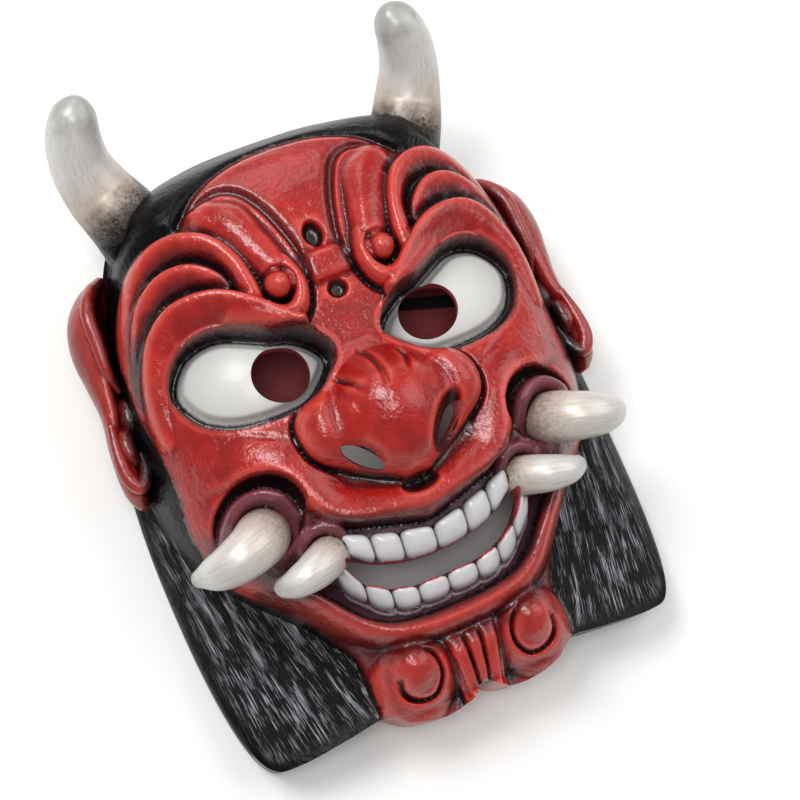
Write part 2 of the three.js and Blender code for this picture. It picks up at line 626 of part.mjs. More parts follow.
// Stations of the ear from its tip to its lobe: y, then x and z of the root, the hollow, the crest of the
// rim, the back of the rim and the back of the root
const EAR = [
  { y: 68, root: [82, 31], hollow: [84, 33], crest: [86, 35], back: [87, 33], behind: [84, 29] },
  { y: 61, root: [81, 26], hollow: [87, 34], crest: [92, 44], back: [98, 36], behind: [88, 18] },
  { y: 50, root: [86, 24], hollow: [91, 34], crest: [97, 49], back: [106, 38], behind: [95, 16] },
  { y: 36, root: [90, 24], hollow: [94, 33], crest: [98, 49], back: [109, 38], behind: [100, 13] },
  { y: 22, root: [91, 24], hollow: [95, 31], crest: [99, 46], back: [108, 37], behind: [101, 12] },
  { y: 8, root: [92, 24], hollow: [96, 31], crest: [101, 43], back: [107, 36], behind: [102, 12] },
  { y: -6, root: [94, 22], hollow: [99, 32], crest: [104, 42], back: [109, 36], behind: [103, 12] },
  { y: -20, root: [97, 20], hollow: [100, 36], crest: [104, 42], back: [110, 35], behind: [104, 14] },
  { y: -29, root: [99, 20], hollow: [101, 33], crest: [104, 38], back: [109, 32], behind: [104, 16] },
  { y: -34, root: [102, 24], hollow: [103, 28], crest: [104, 30], back: [106, 28], behind: [104, 22] },
];

function ear(hand) {
  const rings = EAR.map((station) => {
    const parts = [station.root, station.hollow, station.crest, station.back, station.behind];
    const ring = parts.map(([x, z]) => new THREE.Vector3(hand * x, station.y - hand * SLIP.ear, z));
    return hand > 0 ? ring.reverse() : ring;
  });
  return lofted(rings);
}

// The hollow: above the cap's floor behind the crown, and open at the table below CAP_EDGE_Y
function hollow(lining) {
  const { side, end, below, above } = BEYOND;
  const rim = inset(rimPoints, WALL);
  const neck = [[-side, -end], [side, -end], [side, CAP_EDGE_Y], [-side, CAP_EDGE_Y]];
  const opened = extruded(neck.map(([x, y]) => new THREE.Vector2(x, y)), -below, FLOOR + 1);
  return extruded(rim, FLOOR, above).add(opened.intersect(extruded(rim, -below, FLOOR + 1))).intersect(lining);
}

function openings() {
  const { x, y, rx, ry } = EYE_HOLE;
  const { x: nx, y: ny, long, wide, turn } = NOSTRIL_HOLE;
  const outlines = [-1, 1].flatMap((hand) => [
    ellipsePoints(hand * x, y, rx, ry, 0, 28),
    ellipsePoints(hand * nx, ny, long, wide, hand * turn, 16),
  ]);
  outlines.push(closedOutline(SLOT_OUTLINE, 40, true));
  return outlines.map((points) => extruded(points, KNIFE.from, KNIFE.to));
}

function maskSolid() {
  const outside = heightGrid(faceHeight);
  let mask = extruded(rimPoints, 0, BEYOND.above).intersect(fieldSolid(outside, FACE_TRIANGLES));
  [-1, 1].forEach((hand) => {
    mask = mask.add(tapered(HORN, hand)).add(tapered(BIG_TUSK, hand)).add(tapered(SMALL_TUSK, hand));
    mask = mask.add(ear(hand));
  });
  mask = mask.subtract(hollow(fieldSolid(liningGrid(outside), LINING_TRIANGLES)));
  [-1, 1].forEach((hand) => teeth.forEach((row) => {
    for (let i = 0; i < row.parts.length - 1; i += 1) mask = mask.add(tooth(row, i, hand));
  }));
  openings().forEach((opening) => { mask = mask.subtract(opening); });
  return mask;
}

// The band crosses the hollow from wall to wall
function strapSolid() {
  const { y, slope, thick, width, z } = STRAP;
  const corners = [[-HALF_WIDTH, -1], [HALF_WIDTH, -1], [HALF_WIDTH, 1], [-HALF_WIDTH, 1]];
  const outline = corners.map(([x, edge]) => new THREE.Vector2(x, y + slope * x + (edge * width) / 2));
  const room = extruded(inset(rimPoints, WALL + STRAP.gap), 0, 2 * z);
  return extruded(outline, z, z + thick).intersect(room);
}

function named(name, solid, color, roughness) {
  const material = new THREE.MeshStandardMaterial({ color, roughness, metalness: 0 });
  const mesh = new THREE.Mesh(toGeometry(solid), material);
  mesh.name = name;
  mesh.position.y = -ORIGIN_Y;
  return mesh;
}

const group = new THREE.Group();
group.add(named("mask", maskSolid(), 0xb5302a, 0.35));
group.add(named("elastic_strap", strapSolid(), 0x1a1a1c, 0.8));

export default group;
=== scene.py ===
# %% [markdown]
# # A horned demon mask
# The real object is one hollow casting of soft latex, painted by hand, with a black elastic band behind the
# eyes. The CAD model fixes its size and place. This lesson makes its skin again, fine enough to show every
# crease, and then paints it layer by layer as a maker would.

# %% Load the CAD model as the frame
import math

import bpy
import numpy as np
from mathutils import Matrix, Vector


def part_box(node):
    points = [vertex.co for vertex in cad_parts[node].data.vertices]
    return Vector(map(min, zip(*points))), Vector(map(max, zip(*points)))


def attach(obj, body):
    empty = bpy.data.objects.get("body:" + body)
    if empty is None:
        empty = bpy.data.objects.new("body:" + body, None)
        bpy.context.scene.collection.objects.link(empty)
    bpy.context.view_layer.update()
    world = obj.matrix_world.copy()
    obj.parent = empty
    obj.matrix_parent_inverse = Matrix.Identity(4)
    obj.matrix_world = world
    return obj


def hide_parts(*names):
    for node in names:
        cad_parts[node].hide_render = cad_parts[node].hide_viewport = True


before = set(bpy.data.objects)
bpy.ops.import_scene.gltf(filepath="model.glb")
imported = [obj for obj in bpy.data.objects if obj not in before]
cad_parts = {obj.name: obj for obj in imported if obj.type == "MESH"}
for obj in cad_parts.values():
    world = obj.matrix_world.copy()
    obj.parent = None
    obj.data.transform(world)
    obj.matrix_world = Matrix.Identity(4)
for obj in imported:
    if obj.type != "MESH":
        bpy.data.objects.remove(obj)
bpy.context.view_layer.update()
mask_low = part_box("mask")[0]

# %% [markdown]
# ## The face's own measures
# All measures below are in millimetres. x is the distance from the middle of the face and y runs up the
# face, from 0 between the eyes. The mask is symmetric, so one half is described and mirrored. Only the chin
# ties these measures to the CAD model: its lowest point is known in both.

# %% Units and the tie to the frame
MM = 0.001
CHIN_Y = -158.5
ORIGIN_Y = CHIN_Y - mask_low.y / MM


def placed(points):
    """Points in the face's own millimetres, as metres in the frame."""
    return (np.asarray(points, float) - [0, ORIGIN_Y, 0]) * MM


print("the frame's origin lies at y =", round(ORIGIN_Y, 1), "mm on the face")

# %% [markdown]
# ## Smooth curves
# Every outline and crease is a few points with a smooth curve through them. A Catmull-Rom curve passes
# through its points, so each point is a place that can be measured on the real mask. Profiles need a curve
# that never overshoots, or a flat forehead would get a dent.

# %% Curves, and distances to them
def profile(stations):
    """A smooth curve through stations [place, value] that never overshoots them."""
    place, value = np.array(stations, float).T
    rise = np.diff(value) / np.diff(place)
    product = rise[:-1] * rise[1:]
    total = np.where(product > 0, rise[:-1] + rise[1:], 1)
    tangent = np.concatenate([[0], np.where(product > 0, 2 * product / total, 0), [0]])

    def at(where):
        u = np.clip(where, place[0], place[-1])
        i = np.clip(np.searchsorted(place, u, side="right") - 1, 0, len(place) - 2)
        span = place[i + 1] - place[i]
        t = (u - place[i]) / span
        near = (1 + 2 * t) * (1 - t) ** 2 * value[i] + t * (1 - t) ** 2 * span * tangent[i]
        far = t * t * (3 - 2 * t) * value[i + 1] - t * t * (1 - t) * span * tangent[i + 1]
        return near + far

    return at


def curve(points, parts=6, closed=False):
    """Points along a smooth curve through some points, in two or three dimensions."""
    p = np.array(points, float)
    if closed:
        p = np.vstack([p[-1], p, p[:2]])
    else:
        p = np.vstack([2 * p[0] - p[1], p, 2 * p[-1] - p[-2]])
    t = (np.arange(parts) / parts)[:, None]
    pieces = [
        0.5 * (2 * b + (c - a) * t + (2 * a - 5 * b + 4 * c - d) * t**2 + (3 * b - a - 3 * c + d) * t**3)
        for a, b, c, d in zip(p[:-3], p[1:-2], p[2:-1], p[3:])
    ]
    if not closed:
        pieces.append(p[-2:-1])
    return np.vstack(pieces)


def mirrored(half, parts=6):
    """A closed curve from one half that starts and ends on the middle."""
    half = np.array(half, float)
    other = half[half[:, 0] > 0][::-1] * [-1, 1]
    return curve(np.vstack([half, other]), parts, closed=True)


def beside(route, x, y, closed=False):
    """Distance from places to a route, how far along it they are (0 to 1), and whether on its left."""
    starts = route if closed else route[:-1]
    ends = np.roll(route, -1, axis=0) if closed else route[1:]
    gap = np.full(x.shape, 1e9)
    share = np.zeros(x.shape)
    left = np.zeros(x.shape, bool)
    for i, (p, q) in enumerate(zip(starts, ends)):
        dx, dy = q - p
        t = np.clip(((x - p[0]) * dx + (y - p[1]) * dy) / (dx * dx + dy * dy), 0, 1)
        g = np.hypot(x - p[0] - t * dx, y - p[1] - t * dy)
        closer = g < gap
        gap = np.where(closer, g, gap)
        share = np.where(closer, (i + t) / len(starts), share)
        left = np.where(closer, dx * (y - p[1]) > dy * (x - p[0]), left)
    return gap, share, left


def inside_distance(outline, x, y):
    """Distance to a closed outline, negative inside."""
    inside = np.zeros(x.shape, bool)
    for p, q in zip(outline, np.roll(outline, -1, axis=0)):
        if p[1] == q[1]:
            continue
        crossed = (p[1] > y) != (q[1] > y)
        inside ^= crossed & (x < p[0] + (y - p[1]) * (q[0] - p[0]) / (q[1] - p[1]))
    gap = beside(outline, x, y, closed=True)[0]
    return np.where(inside, -gap, gap)


def bulge(share, fullness=2.5, fade=1):
    """Rounded across: 1 on the crest and 0 from the edge on.

    With more fullness it falls later, and with a fade of 2 it ends softly.
    """
    return (1 - np.clip(share, 0, 1) ** fullness) ** fade


def ridge(gap, width):
    """A soft ridge: 1 on a line and almost 0 two widths away from it."""
    return np.exp(-((gap / width) ** 2))


# %% [markdown]
# ## The grid that carries the face
# A mask is a relief: from in front, each place on it has one height. It could be sculpted by hand, but then
# nobody could read how it was made. So the skin starts as a grid of heights, and every feature is a formula
# that adds to it or cuts into it, as a sculptor adds clay and takes it away. Horns, tusks, ears and teeth
# overhang, so they are solids of their own, joined later.

# %% The grid over half of the face
STEP = 0.6
HALF_REACH = 112
LOW_Y, HIGH_Y = -163, 127
HALF_COLUMNS = math.ceil(HALF_REACH / STEP)
ROWS = math.ceil((HIGH_Y - LOW_Y) / STEP)
grid_x = np.arange(HALF_COLUMNS + 1) * STEP
grid_y = LOW_Y + np.arange(ROWS + 1) * STEP
X, Y = np.meshgrid(grid_x, grid_y)
print("grid of", X.shape, "places over half of the face")

# %% [markdown]
# ## The bare head
# Under all the flesh lies a plain form: the face as a tall rounded ridge, and the hair as a low cushion
# around it that falls to the table. A stretched ball could stand for it, but a ball can't be broad at the
# cheeks, narrow at the chin and flat in front. So the face follows two profiles: its height down the middle
# and its width at each place.

# %% Head, hair and rim
RIM_HEIGHT = 6
HAIR_RISE = 26
HALF_WIDTH = 109
CROWN = dict(starts=50, reach=72)
# Two powers for each form: the inner sets how far out it stays high, and the outer how steeply it ends
HAIR_POWERS = [4, 0.6]
FACE_POWERS = [3, 0.55]
MIDLINE = [
    [-170, 5], [-158, 26], [-146, 38], [-125, 52], [-108, 60], [-82, 76], [-50, 82], [-10, 86],
    [20, 89], [60, 87], [80, 82], [92, 74], [103, 55], [111, 34], [117, 14], [130, 4],
]
FACE_WIDTH = [
    [-170, 44], [-150, 46], [-128, 46], [-110, 54], [-100, 61], [-90, 70], [-78, 81], [-62, 93], [-30, 100],
    [0, 100], [20, 98], [46, 92], [66, 84], [84, 74], [100, 57], [112, 36], [124, 16],
]
RIM_OUTLINE = [
    [0, -151], [8, -156.5], [20, -158.5], [34, -155.5], [44, -149], [60, -150.5], [84, -152.5], [96, -149],
    [103, -130], [107, -95], [108, -50], [106, -15], [102, 15], [95, 48], [87, 68], [77, 86],
    [64, 99], [46, 108], [24, 114], [0, 116],
]

midline = profile(MIDLINE)
face_width = profile(FACE_WIDTH)
rim = mirrored(RIM_OUTLINE)


def hair_height(x, y):
    inner, outer = HAIR_POWERS
    upwards = np.clip(y - CROWN["starts"], 0, None) / CROWN["reach"]
    edge = (x / HALF_WIDTH) ** inner + upwards**inner
    return RIM_HEIGHT + HAIR_RISE * np.clip(1 - edge, 0, 1) ** outer


def bare_height(x, y):
    inner, outer = FACE_POWERS
    hair = hair_height(x, y)
    across = np.clip(1 - (x / face_width(y)) ** inner, 0, 1) ** outer
    return hair + np.clip(midline(y) - hair, 0, None) * across


bare = bare_height(X, Y)
print("bare head up to", round(bare.max()), "mm")

# %% [markdown]
# ## Rolls of flesh
# Brows, cheeks and lips are rounded rolls. Each has a crest that follows a route, and reaches a given
# distance to its left and right. The brows lie over each other like shingles, so each reaches far on its
# inner side and drops steeply on its outer side. Joined tubes would leave slits between them, but in the
# grid the highest roll at each place simply wins.

# %% Brows, lobes, cheeks and lips
ROLLS = {
    "lower brow": dict(
        route=[[20, 11], [28, 18.5], [37, 27], [46, 33.5], [54, 36.5], [61, 37.5], [68, 37], [75, 33.5],
               [81, 27], [85.5, 17], [88, 5], [88, -10]],
        left=[3.5, 3.2, 3.2, 3], right=[8, 11, 13, 5], height=[9, 9, 9, 9, 9, 8, 3], fullness=[3, 1.7]),
    "middle brow": dict(
        route=[[42, 36], [44, 41], [49, 46.5], [54.5, 50.5], [61, 52.3], [67.5, 52], [74, 49], [79.5, 44],
               [84, 36], [87.5, 26], [90, 12]],
        left=[2, 2.6, 2.6, 2], right=[4, 11, 11, 4], height=[5, 8.2, 8.5, 8.5, 8.5, 7, 2],
        fullness=[3, 1.7]),
    "upper brow": dict(
        route=[[34.5, 24], [35, 34], [36.5, 44], [40.5, 53.5], [46, 60], [54, 64.5], [61.5, 66],
               [68.5, 64.8], [75.3, 60.8], [81, 53.5], [86, 44], [89.5, 33], [91.5, 20], [91, 6]],
        left=[6, 5, 4, 3.5, 3.5, 3, 2.5], right=[5, 6, 9.5, 11, 10, 8, 4],
        height=[7, 8.6, 9, 9, 9, 9, 8, 5, 1.5], fullness=[3, 1.8]),
    "forehead lobe": dict(
        route=[[37, 69], [31, 63], [25.5, 50], [21.5, 38]],
        left=[9, 12.5, 11.5, 9.5], right=[8, 10, 8.2, 7.5], height=[5.5, 7.5, 8.3], fullness=[2.4, 2.4]),
    "inner end of the brow": dict(
        route=[[42, 28], [33, 21], [25, 15.5], [18.5, 17.5], [15, 24], [15.2, 31], [17.5, 38]],
        left=[9, 8, 6.5, 4.8, 4, 4, 4], right=[6, 6, 6, 5, 6, 6, 6],
        height=[7, 8.5, 8.7, 8.7, 8.7, 8.2, 7], fullness=[2.5, 2.5]),
    "cheek and upper lip": dict(
        route=[[84, -30], [74, -33], [66, -35.5], [58.7, -37.5], [52.4, -41.5], [48.1, -48], [45, -54.5],
               [41.2, -61], [36.3, -67], [28.8, -70.5], [18.3, -72.5], [8, -74], [0, -74.5]],
        left=[8, 4.5, 4.5, 4, 4.5, 4.5, 5.5], right=[14, 20, 24, 20, 18, 15, 12],
        height=[1, 6, 8, 8, 8, 8, 8], fullness=[3, 2], fade=[1, 2]),
    "lower lip": dict(
        route=[[67, -77], [60.5, -90], [54, -98.5], [46.7, -106.5], [36, -115.5], [26, -120], [13, -122.3],
               [0, -122.7]],
        left=[5, 6, 6.3, 6], right=[5, 5.5, 5.5, 5], height=[1, 7, 7.5, 7.5, 7.5, 7.5], fullness=[2.2, 2.2]),
    "side column of the chin": dict(
        route=[[8, -125], [7, -136], [6, -146], [5.6, -156]], left=[7, 6.5, 6, 5], right=[7, 6.5, 6, 5],
        height=[2, 8.6, 9, 9], fullness=[3, 3]),
    "middle column of the chin": dict(
        route=[[0, -126], [0, -153]], left=[5.5, 5], right=[5.5, 5],
        height=[2, 8.8, 9.2, 9.2], fullness=[3, 3]),
}
KNOBS = {
    "curl of the brow": dict(at=[23.2, 28.6], reach=[8, 8], height=10.8, square=2, fullness=2.2),
    "pad between the brows": dict(at=[0, 31.2], reach=[11, 7], height=3.2, square=5, fullness=5),
    "disc of the chin curl": dict(at=[28, -140], reach=[19.5, 19.5], height=12, square=2, fullness=3),
    "heart of the chin curl": dict(at=[28.2, -137.5], reach=[16.5, 16], height=16, square=2, fullness=2),
}


def spread(values, share):
    """The value at a share of the way along evenly spread values."""
    return np.interp(share, np.linspace(0, 1, len(values)), values)


def patch_share(patch, x, y):
    """How far out places lie in an oval or, with a high square, a rounded rectangle: 1 at its edge."""
    turn = patch.get("turn", 0)
    dx, dy = x - patch["at"][0], y - patch["at"][1]
    u = np.abs(dx * math.cos(turn) + dy * math.sin(turn)) / patch["reach"][0]
    v = np.abs(dy * math.cos(turn) - dx * math.sin(turn)) / patch["reach"][1]
    return (u ** patch["square"] + v ** patch["square"]) ** (1 / patch["square"])


flesh = np.zeros(X.shape)
for roll in ROLLS.values():
    gap, share, left = beside(curve(roll["route"]), X, Y)
    reach = np.where(left, spread(roll["left"], share), spread(roll["right"], share))
    fullness = np.where(left, *roll["fullness"])
    fade = np.where(left, *roll.get("fade", [1, 1]))
    flesh = np.maximum(flesh, spread(roll["height"], share) * bulge(gap / reach, fullness, fade))
for knob in KNOBS.values():
    flesh = np.maximum(flesh, knob["height"] * bulge(patch_share(knob, X, Y), knob["fullness"]))
print(len(ROLLS), "rolls and", len(KNOBS), "knobs rise up to", round(flesh.max(), 1), "mm")

# %% [markdown]
# ## Creases and pits
# The sculptor pressed lines into the clay with a wire tool. Some have a fine raised thread beside them,
# where the tool pushed the clay up. They could be painted on, but light has to catch their edges and the
# wash has to settle in them. So a groove is a soft valley along a route, and a thread a fine ridge along one.

# %% Grooves, threads and pits
GROOVES = {
    "round the forehead lobe": dict(
        route=[[45, 75.5], [39, 77.3], [29.5, 78.6], [21.3, 74], [15.3, 63], [11.2, 50.5], [9.2, 41],
               [9, 33], [10.3, 23.5], [13.4, 15.2], [18.5, 9.3]],
        width=[1.2, 2, 2, 1.9, 1.2, 1, 0.8], depth=[1.5, 3.2, 3.2, 3.2, 3, 3, 1.5]),
    "top of the forehead": dict(
        route=[[0, 93], [20, 90.5], [38, 82.5], [50, 71]], width=[1.6, 1.6], depth=[2.5, 2.5]),
    "under the eye": dict(
        route=[[42, -32], [52, -26.5], [62, -21]], width=[1.4, 1.4], depth=[0.3, 1.2, 0.3]),
    "round the wing of the nose": dict(
        route=[[19, -9], [27, -15.5], [34, -20.5], [39.6, -26.5], [41, -35], [38.3, -44], [30, -51.5]],
        width=[0.6, 0.6], depth=[0.3, 2, 2, 2, 1.8]),
    "nest under the ball of the brow": dict(
        route=[[29.6, 30.5], [29.4, 26.6], [26.5, 22.6], [22.6, 21.6], [18.8, 23.2], [17, 26]],
        width=[0.5, 0.9, 1.1, 1.1, 0.9, 0.5], depth=[1.5, 4, 4.5, 4.5, 4, 1.5]),
    "round the ball of the brow": dict(
        route=[[17, 26], [16.3, 29.5], [17.8, 33], [20.8, 35], [24.2, 35.4], [27.6, 33.9], [29.6, 30.5]],
        width=[0.6, 0.6], depth=[1.6, 1.6]),
    "round the pad": dict(
        route=[[0, 23.2], [9, 23.5], [10.6, 27], [10.6, 35], [9, 39], [0, 39.4]], width=[0.5, 0.5],
        depth=[1, 1, 1, 1.6]),
    "hook of the chin curl": dict(
        route=[[25, -124.5], [21.7, -128.5], [17.8, -133.5], [16.8, -139.5], [18.5, -144.5], [22.4, -148.3],
               [28, -148.6], [33, -146.3], [35.3, -142.3], [35.3, -137.5]],
        width=[0.6, 0.7, 0.8, 0.9, 1, 1], depth=[1, 3, 4, 4.5, 4.5, 3]),
    "beside the middle column": dict(
        route=[[4, -127], [3.2, -138], [2.6, -147], [2, -153]],
        width=[0.7, 0.7], depth=[1, 2.2, 2.2, 2.2]),
    "beside the side column": dict(
        route=[[12.3, -126], [10.8, -136], [9.2, -147], [8.2, -155]],
        width=[0.7, 0.7], depth=[1, 2.2, 2.2, 2.2]),
    "under the lower lip": dict(
        route=[[47.5, -115], [41, -121], [34, -124], [24, -126.3], [12, -128.3], [0, -128.6]],
        width=[1.4, 1.4], depth=[0.5, 1.2, 1.2]),
}
PITS = {
    "drop in the forehead": dict(at=[0, 45.4], reach=[4.7, 6.4], depth=6.5, square=1.8),
    "hole under the pad": dict(at=[0, 19.4], reach=[4.5, 4.2], depth=5, square=2),
    "pit under the nose": dict(at=[0, -67.5], reach=[8.5, 4.2], depth=5, square=2),
}
# Steep walls and a flat floor
PIT_FULLNESS = 5
THREADS = {
    "beside the forehead lobe": dict(
        route=[[49, 72], [40, 74.7], [30.4, 76], [23, 71.3], [17.4, 61], [13.2, 48.5], [11, 38], [10.9, 31],
               [12.2, 24], [15, 16.5], [19.8, 11]], width=0.55, height=1),
    "round the wing of the nose": dict(
        route=[[28, -14], [35.5, -19], [41.4, -25.6], [43, -35], [40.3, -45], [31.5, -53]],
        width=0.7, height=0.5),
}

cuts = np.zeros(X.shape)
for groove in GROOVES.values():
    gap, along, _ = beside(curve(groove["route"]), X, Y)
    cuts = np.maximum(cuts, spread(groove["depth"], along) * ridge(gap, spread(groove["width"], along)))
for pit in PITS.values():
    cuts = np.maximum(cuts, pit["depth"] * bulge(patch_share(pit, X, Y), PIT_FULLNESS))
threads = np.zeros(X.shape)
for thread in THREADS.values():
    gap = beside(curve(thread["route"]), X, Y)[0]
    threads = np.maximum(threads, thread["height"] * ridge(gap, thread["width"]))
print(len(GROOVES), "grooves,", len(PITS), "pits and", len(THREADS), "threads")

# %% [markdown]
# ## The nose
# A bulky nose is one cushion, steep at its outline and fading out up the bridge, with a broad dome for the
# tip and a smaller one for each wing. The domes are added to the cushion, so no crease shows between them.

# %% Nose
NOSE_OUTLINE = [
    [0, -3], [12, -5], [22, -12], [33, -20], [39, -26], [40.5, -35], [37.5, -44], [28.5, -51.5],
    [13, -60.5], [0, -66],
]
NOSE_EDGE = dict(rise=11.5, width=11, fade_from=-2, fade_over=22, fade_power=0.8)
NOSE_DOMES = [
    dict(at=[0, -38], reach=[26, 29], height=15.3, square=2),
    dict(at=[28, -34], reach=[13, 16], height=5, square=2),
]
NOSE_VALLEY = dict(route=[[17, -18], [21.5, -25], [23, -33], [22, -41]], width=4.5, depth=2.6)
# The left one is a plain slot; the right one opens in a deep funnel, painted near black as shade
NOSTRILS = {
    -1: dict(at=[18.6, -50.3], reach=[10, 4.2], turn=0.82, depth=2, square=2, painted=0.3),
    1: dict(at=[18, -49.5], reach=[14, 5.8], turn=0.86, depth=7.5, square=2, painted=0),
}

nose_gap = inside_distance(mirrored(NOSE_OUTLINE), X, Y)
fade = np.clip((NOSE_EDGE["fade_from"] - Y) / NOSE_EDGE["fade_over"], 0, 1) ** NOSE_EDGE["fade_power"]
edge_share = np.clip(-nose_gap / NOSE_EDGE["width"], 0, 1)
nose = NOSE_EDGE["rise"] * fade * np.sqrt(1 - (1 - edge_share) ** 2)
for dome in NOSE_DOMES:
    nose = nose + dome["height"] * bulge(patch_share(dome, X, Y), fullness=2, fade=1.3)
valley_gap = beside(curve(NOSE_VALLEY["route"]), X, Y)[0]
nose = nose - NOSE_VALLEY["depth"] * ridge(valley_gap, NOSE_VALLEY["width"]) * edge_share
height = bare + flesh + nose - cuts + threads
print("the nose rises to", round((bare + nose).max(), 1), "mm")

# %% [markdown]
# ## Eyes, mouth and tusk sockets
# These are sunk into the flesh. Each has an outline, and inside it the height is replaced: by a shallow
# ball for the eye, by the gums for the mouth, and by a pit for the big tusk. A collar of flesh stands up
# round each tusk. On the real mask all this is one skin, so no separate ball or jaw is put in here either.

# %% Eyes, gums and sockets
EYE_OUTLINE = [
    [14, -3], [17.5, 3], [25, 8], [34, 10.3], [44, 15.5], [52, 19.5], [60, 20.5], [67.5, 18.5], [73.5, 12.5],
    [76, 5], [72.6, -4.5], [67, -11], [58, -15.8], [48, -17.8], [38, -18], [28, -16.5], [19, -10],
]
MOUTH_OUTLINE = [
    [0, -81], [10, -78.6], [20, -75.8], [30, -72.8], [38, -68.8], [46, -65.5], [54, -70], [58, -78],
    [54.5, -88], [46.5, -98.5], [38.5, -108], [28, -114.3], [14, -116.8], [0, -117.3],
]
EYEBALL = dict(at=[42, 0, 79.5], bulge=0.0135, groove=3, rim=2.8)
SOCKET = dict(at=[65, -55], reach=[19, 16.5], depth=9)
COLLARS = [
    dict(at=[66, -60], radius=13.2, width=4.6, height=15),
    dict(at=[45.5, -77.5], radius=9.4, width=3.4, height=9),
]
EYE_THREAD = dict(gap=3.4, width=0.5, height=0.35)
GUM_DEPTH = 8

TEETH = [
    dict(parts=[0, 14.5, 26.5, 38], roundness=0.5,
         top=[[0, -84], [12, -81.9], [22.5, -79.2], [34, -75], [38, -73.5]],
         bottom=[[0, -94.6], [14, -93.4], [27, -89.5], [38, -83.2]]),
    dict(parts=[0, 13.5, 24.6, 34.5, 44.5], roundness=0.72,
         top=[[0, -103.5], [14, -103.2], [24.4, -100.5], [31, -97], [36, -92.5], [44.5, -82]],
         bottom=[[0, -112.6], [15, -112.3], [25, -110.2], [33.5, -105.2], [38, -100], [42.5, -94.8],
                 [44.5, -90]]),
]
GUM_LINE = dict(share=1.3, width=0.13, height=1.4)

eye_gap = inside_distance(curve(EYE_OUTLINE, closed=True), X, Y)
mouth_gap = inside_distance(mirrored(MOUTH_OUTLINE), X, Y)


def gum_height(x, y):
    return bare_height(x, y) - GUM_DEPTH


def place_in_tooth(row, i, x, y):
    """Where places lie across and up a tooth: -1 and 1 are its edges."""
    low, high = row["parts"][i], row["parts"][i + 1]
    top, bottom = profile(row["top"])(x), profile(row["bottom"])(x)
    return (2 * x - low - high) / (high - low), (2 * y - top - bottom) / (top - bottom)


gum_line = np.zeros(X.shape)
for row in TEETH:
    for i in range(len(row["parts"]) - 1):
        u, v = place_in_tooth(row, i, X, Y)
        share = (np.abs(u) ** 3 + np.abs(v) ** 3) ** (1 / 3)
        swelling = ridge(share - GUM_LINE["share"], GUM_LINE["width"])
        gum_line = np.where(np.abs(u) < 1, swelling, gum_line)
height = np.where(mouth_gap < 0, gum_height(X, Y) + GUM_LINE["height"] * gum_line, height)

ball_x, ball_y, ball_z = EYEBALL["at"]
eyeball = ball_z - EYEBALL["bulge"] * ((X - ball_x) ** 2 + (Y - ball_y) ** 2)
rim_groove = EYEBALL["groove"] * bulge(np.abs(eye_gap) / EYEBALL["rim"])
height = np.where(eye_gap < EYEBALL["rim"], np.minimum(height, eyeball - rim_groove), height)
height = height + EYE_THREAD["height"] * ridge(eye_gap - EYE_THREAD["gap"], EYE_THREAD["width"])

socket_x, socket_y = SOCKET["at"]
in_socket = np.hypot((X - socket_x) / SOCKET["reach"][0], (Y - socket_y) / SOCKET["reach"][1])
socket_floor = bare - SOCKET["depth"] * bulge(in_socket**3)
height = np.where(in_socket < 1, np.minimum(height, socket_floor), height)
collar = np.full(X.shape, 1e3)
for ring in COLLARS:
    (at_x, at_y), radius = ring["at"], ring["radius"]
    gap = np.abs(np.hypot(X - at_x, Y - at_y) - radius) / ring["width"]
    # The collar stands up above the tusk and runs out below it
    upper_side = np.clip(0.3 + 1.1 * (Y - at_y) / radius, 0, 1)
    collar = np.minimum(collar, gap + np.clip(0.5 - upper_side, 0, None))
    rise = ring["height"] * upper_side * bulge(gap, fullness=3)
    height = height + rise * ((in_socket < 1) | (mouth_gap < 0))
print("eyes up to", round(eyeball.max(), 1), "mm, gums sunk by", GUM_DEPTH, "and sockets by", SOCKET["depth"])

# %% [markdown]
# ## Hair
# The hair is a cushion combed with straight strands that run down from behind the ear. A lock is a broad
# furrow, and each is combed with finer strands. The strands' own coordinates, across and along, are kept:
# the paint will be brushed along them. The edge at the rim stays smooth.

# %% Locks and strands
HAIR = dict(fan=[120, 120], away=230, lock=8, lock_depth=0.7, strand=2, strand_depth=0.55)
WANDER = dict(swing=0.9, length=21, offset=3, across=9)
COMBED = dict(below=-18, from_rim=2, fade=6)
fan_x, fan_y = HAIR["fan"]
strand_across = HAIR["away"] * np.arctan2(fan_x - X, fan_y - Y)
strand_along = np.hypot(fan_x - X, fan_y - Y)
shift = WANDER["offset"] * np.sin(strand_across / WANDER["across"])
wander = WANDER["swing"] * np.sin(strand_along / WANDER["length"] + shift)
lock = 1 - np.abs(np.sin(math.pi * (strand_across + wander) / HAIR["lock"]))
strand = 0.5 - 0.5 * np.cos(2 * math.pi * (strand_across + 0.6 * wander) / HAIR["strand"])
rim_gap = inside_distance(rim, X, Y)
in_hair = X - face_width(Y)
combed = np.clip((COMBED["below"] - Y) / COMBED["fade"], 0, 1)
combed = combed * np.clip((-rim_gap - COMBED["from_rim"]) / COMBED["fade"], 0, 1)
combed = combed * np.clip(in_hair + 1, 0, 1)
furrowed = bare - combed * (HAIR["lock_depth"] * lock + HAIR["strand_depth"] * strand)
height = np.where(combed > 0, furrowed, height)
print("hair combed into strands", HAIR["strand"], "mm apart")

# %% [markdown]
# ## What differs from left to right
# Up to here, half a face was enough. The real one was shaped by hand, so the furrows on the nose and the two
# nostrils aren't symmetric. The half is mirrored, and they are cut into the whole relief. Beyond the
# hairline the hair rises a little towards each horn. A light blur then takes away the steps of the grid.

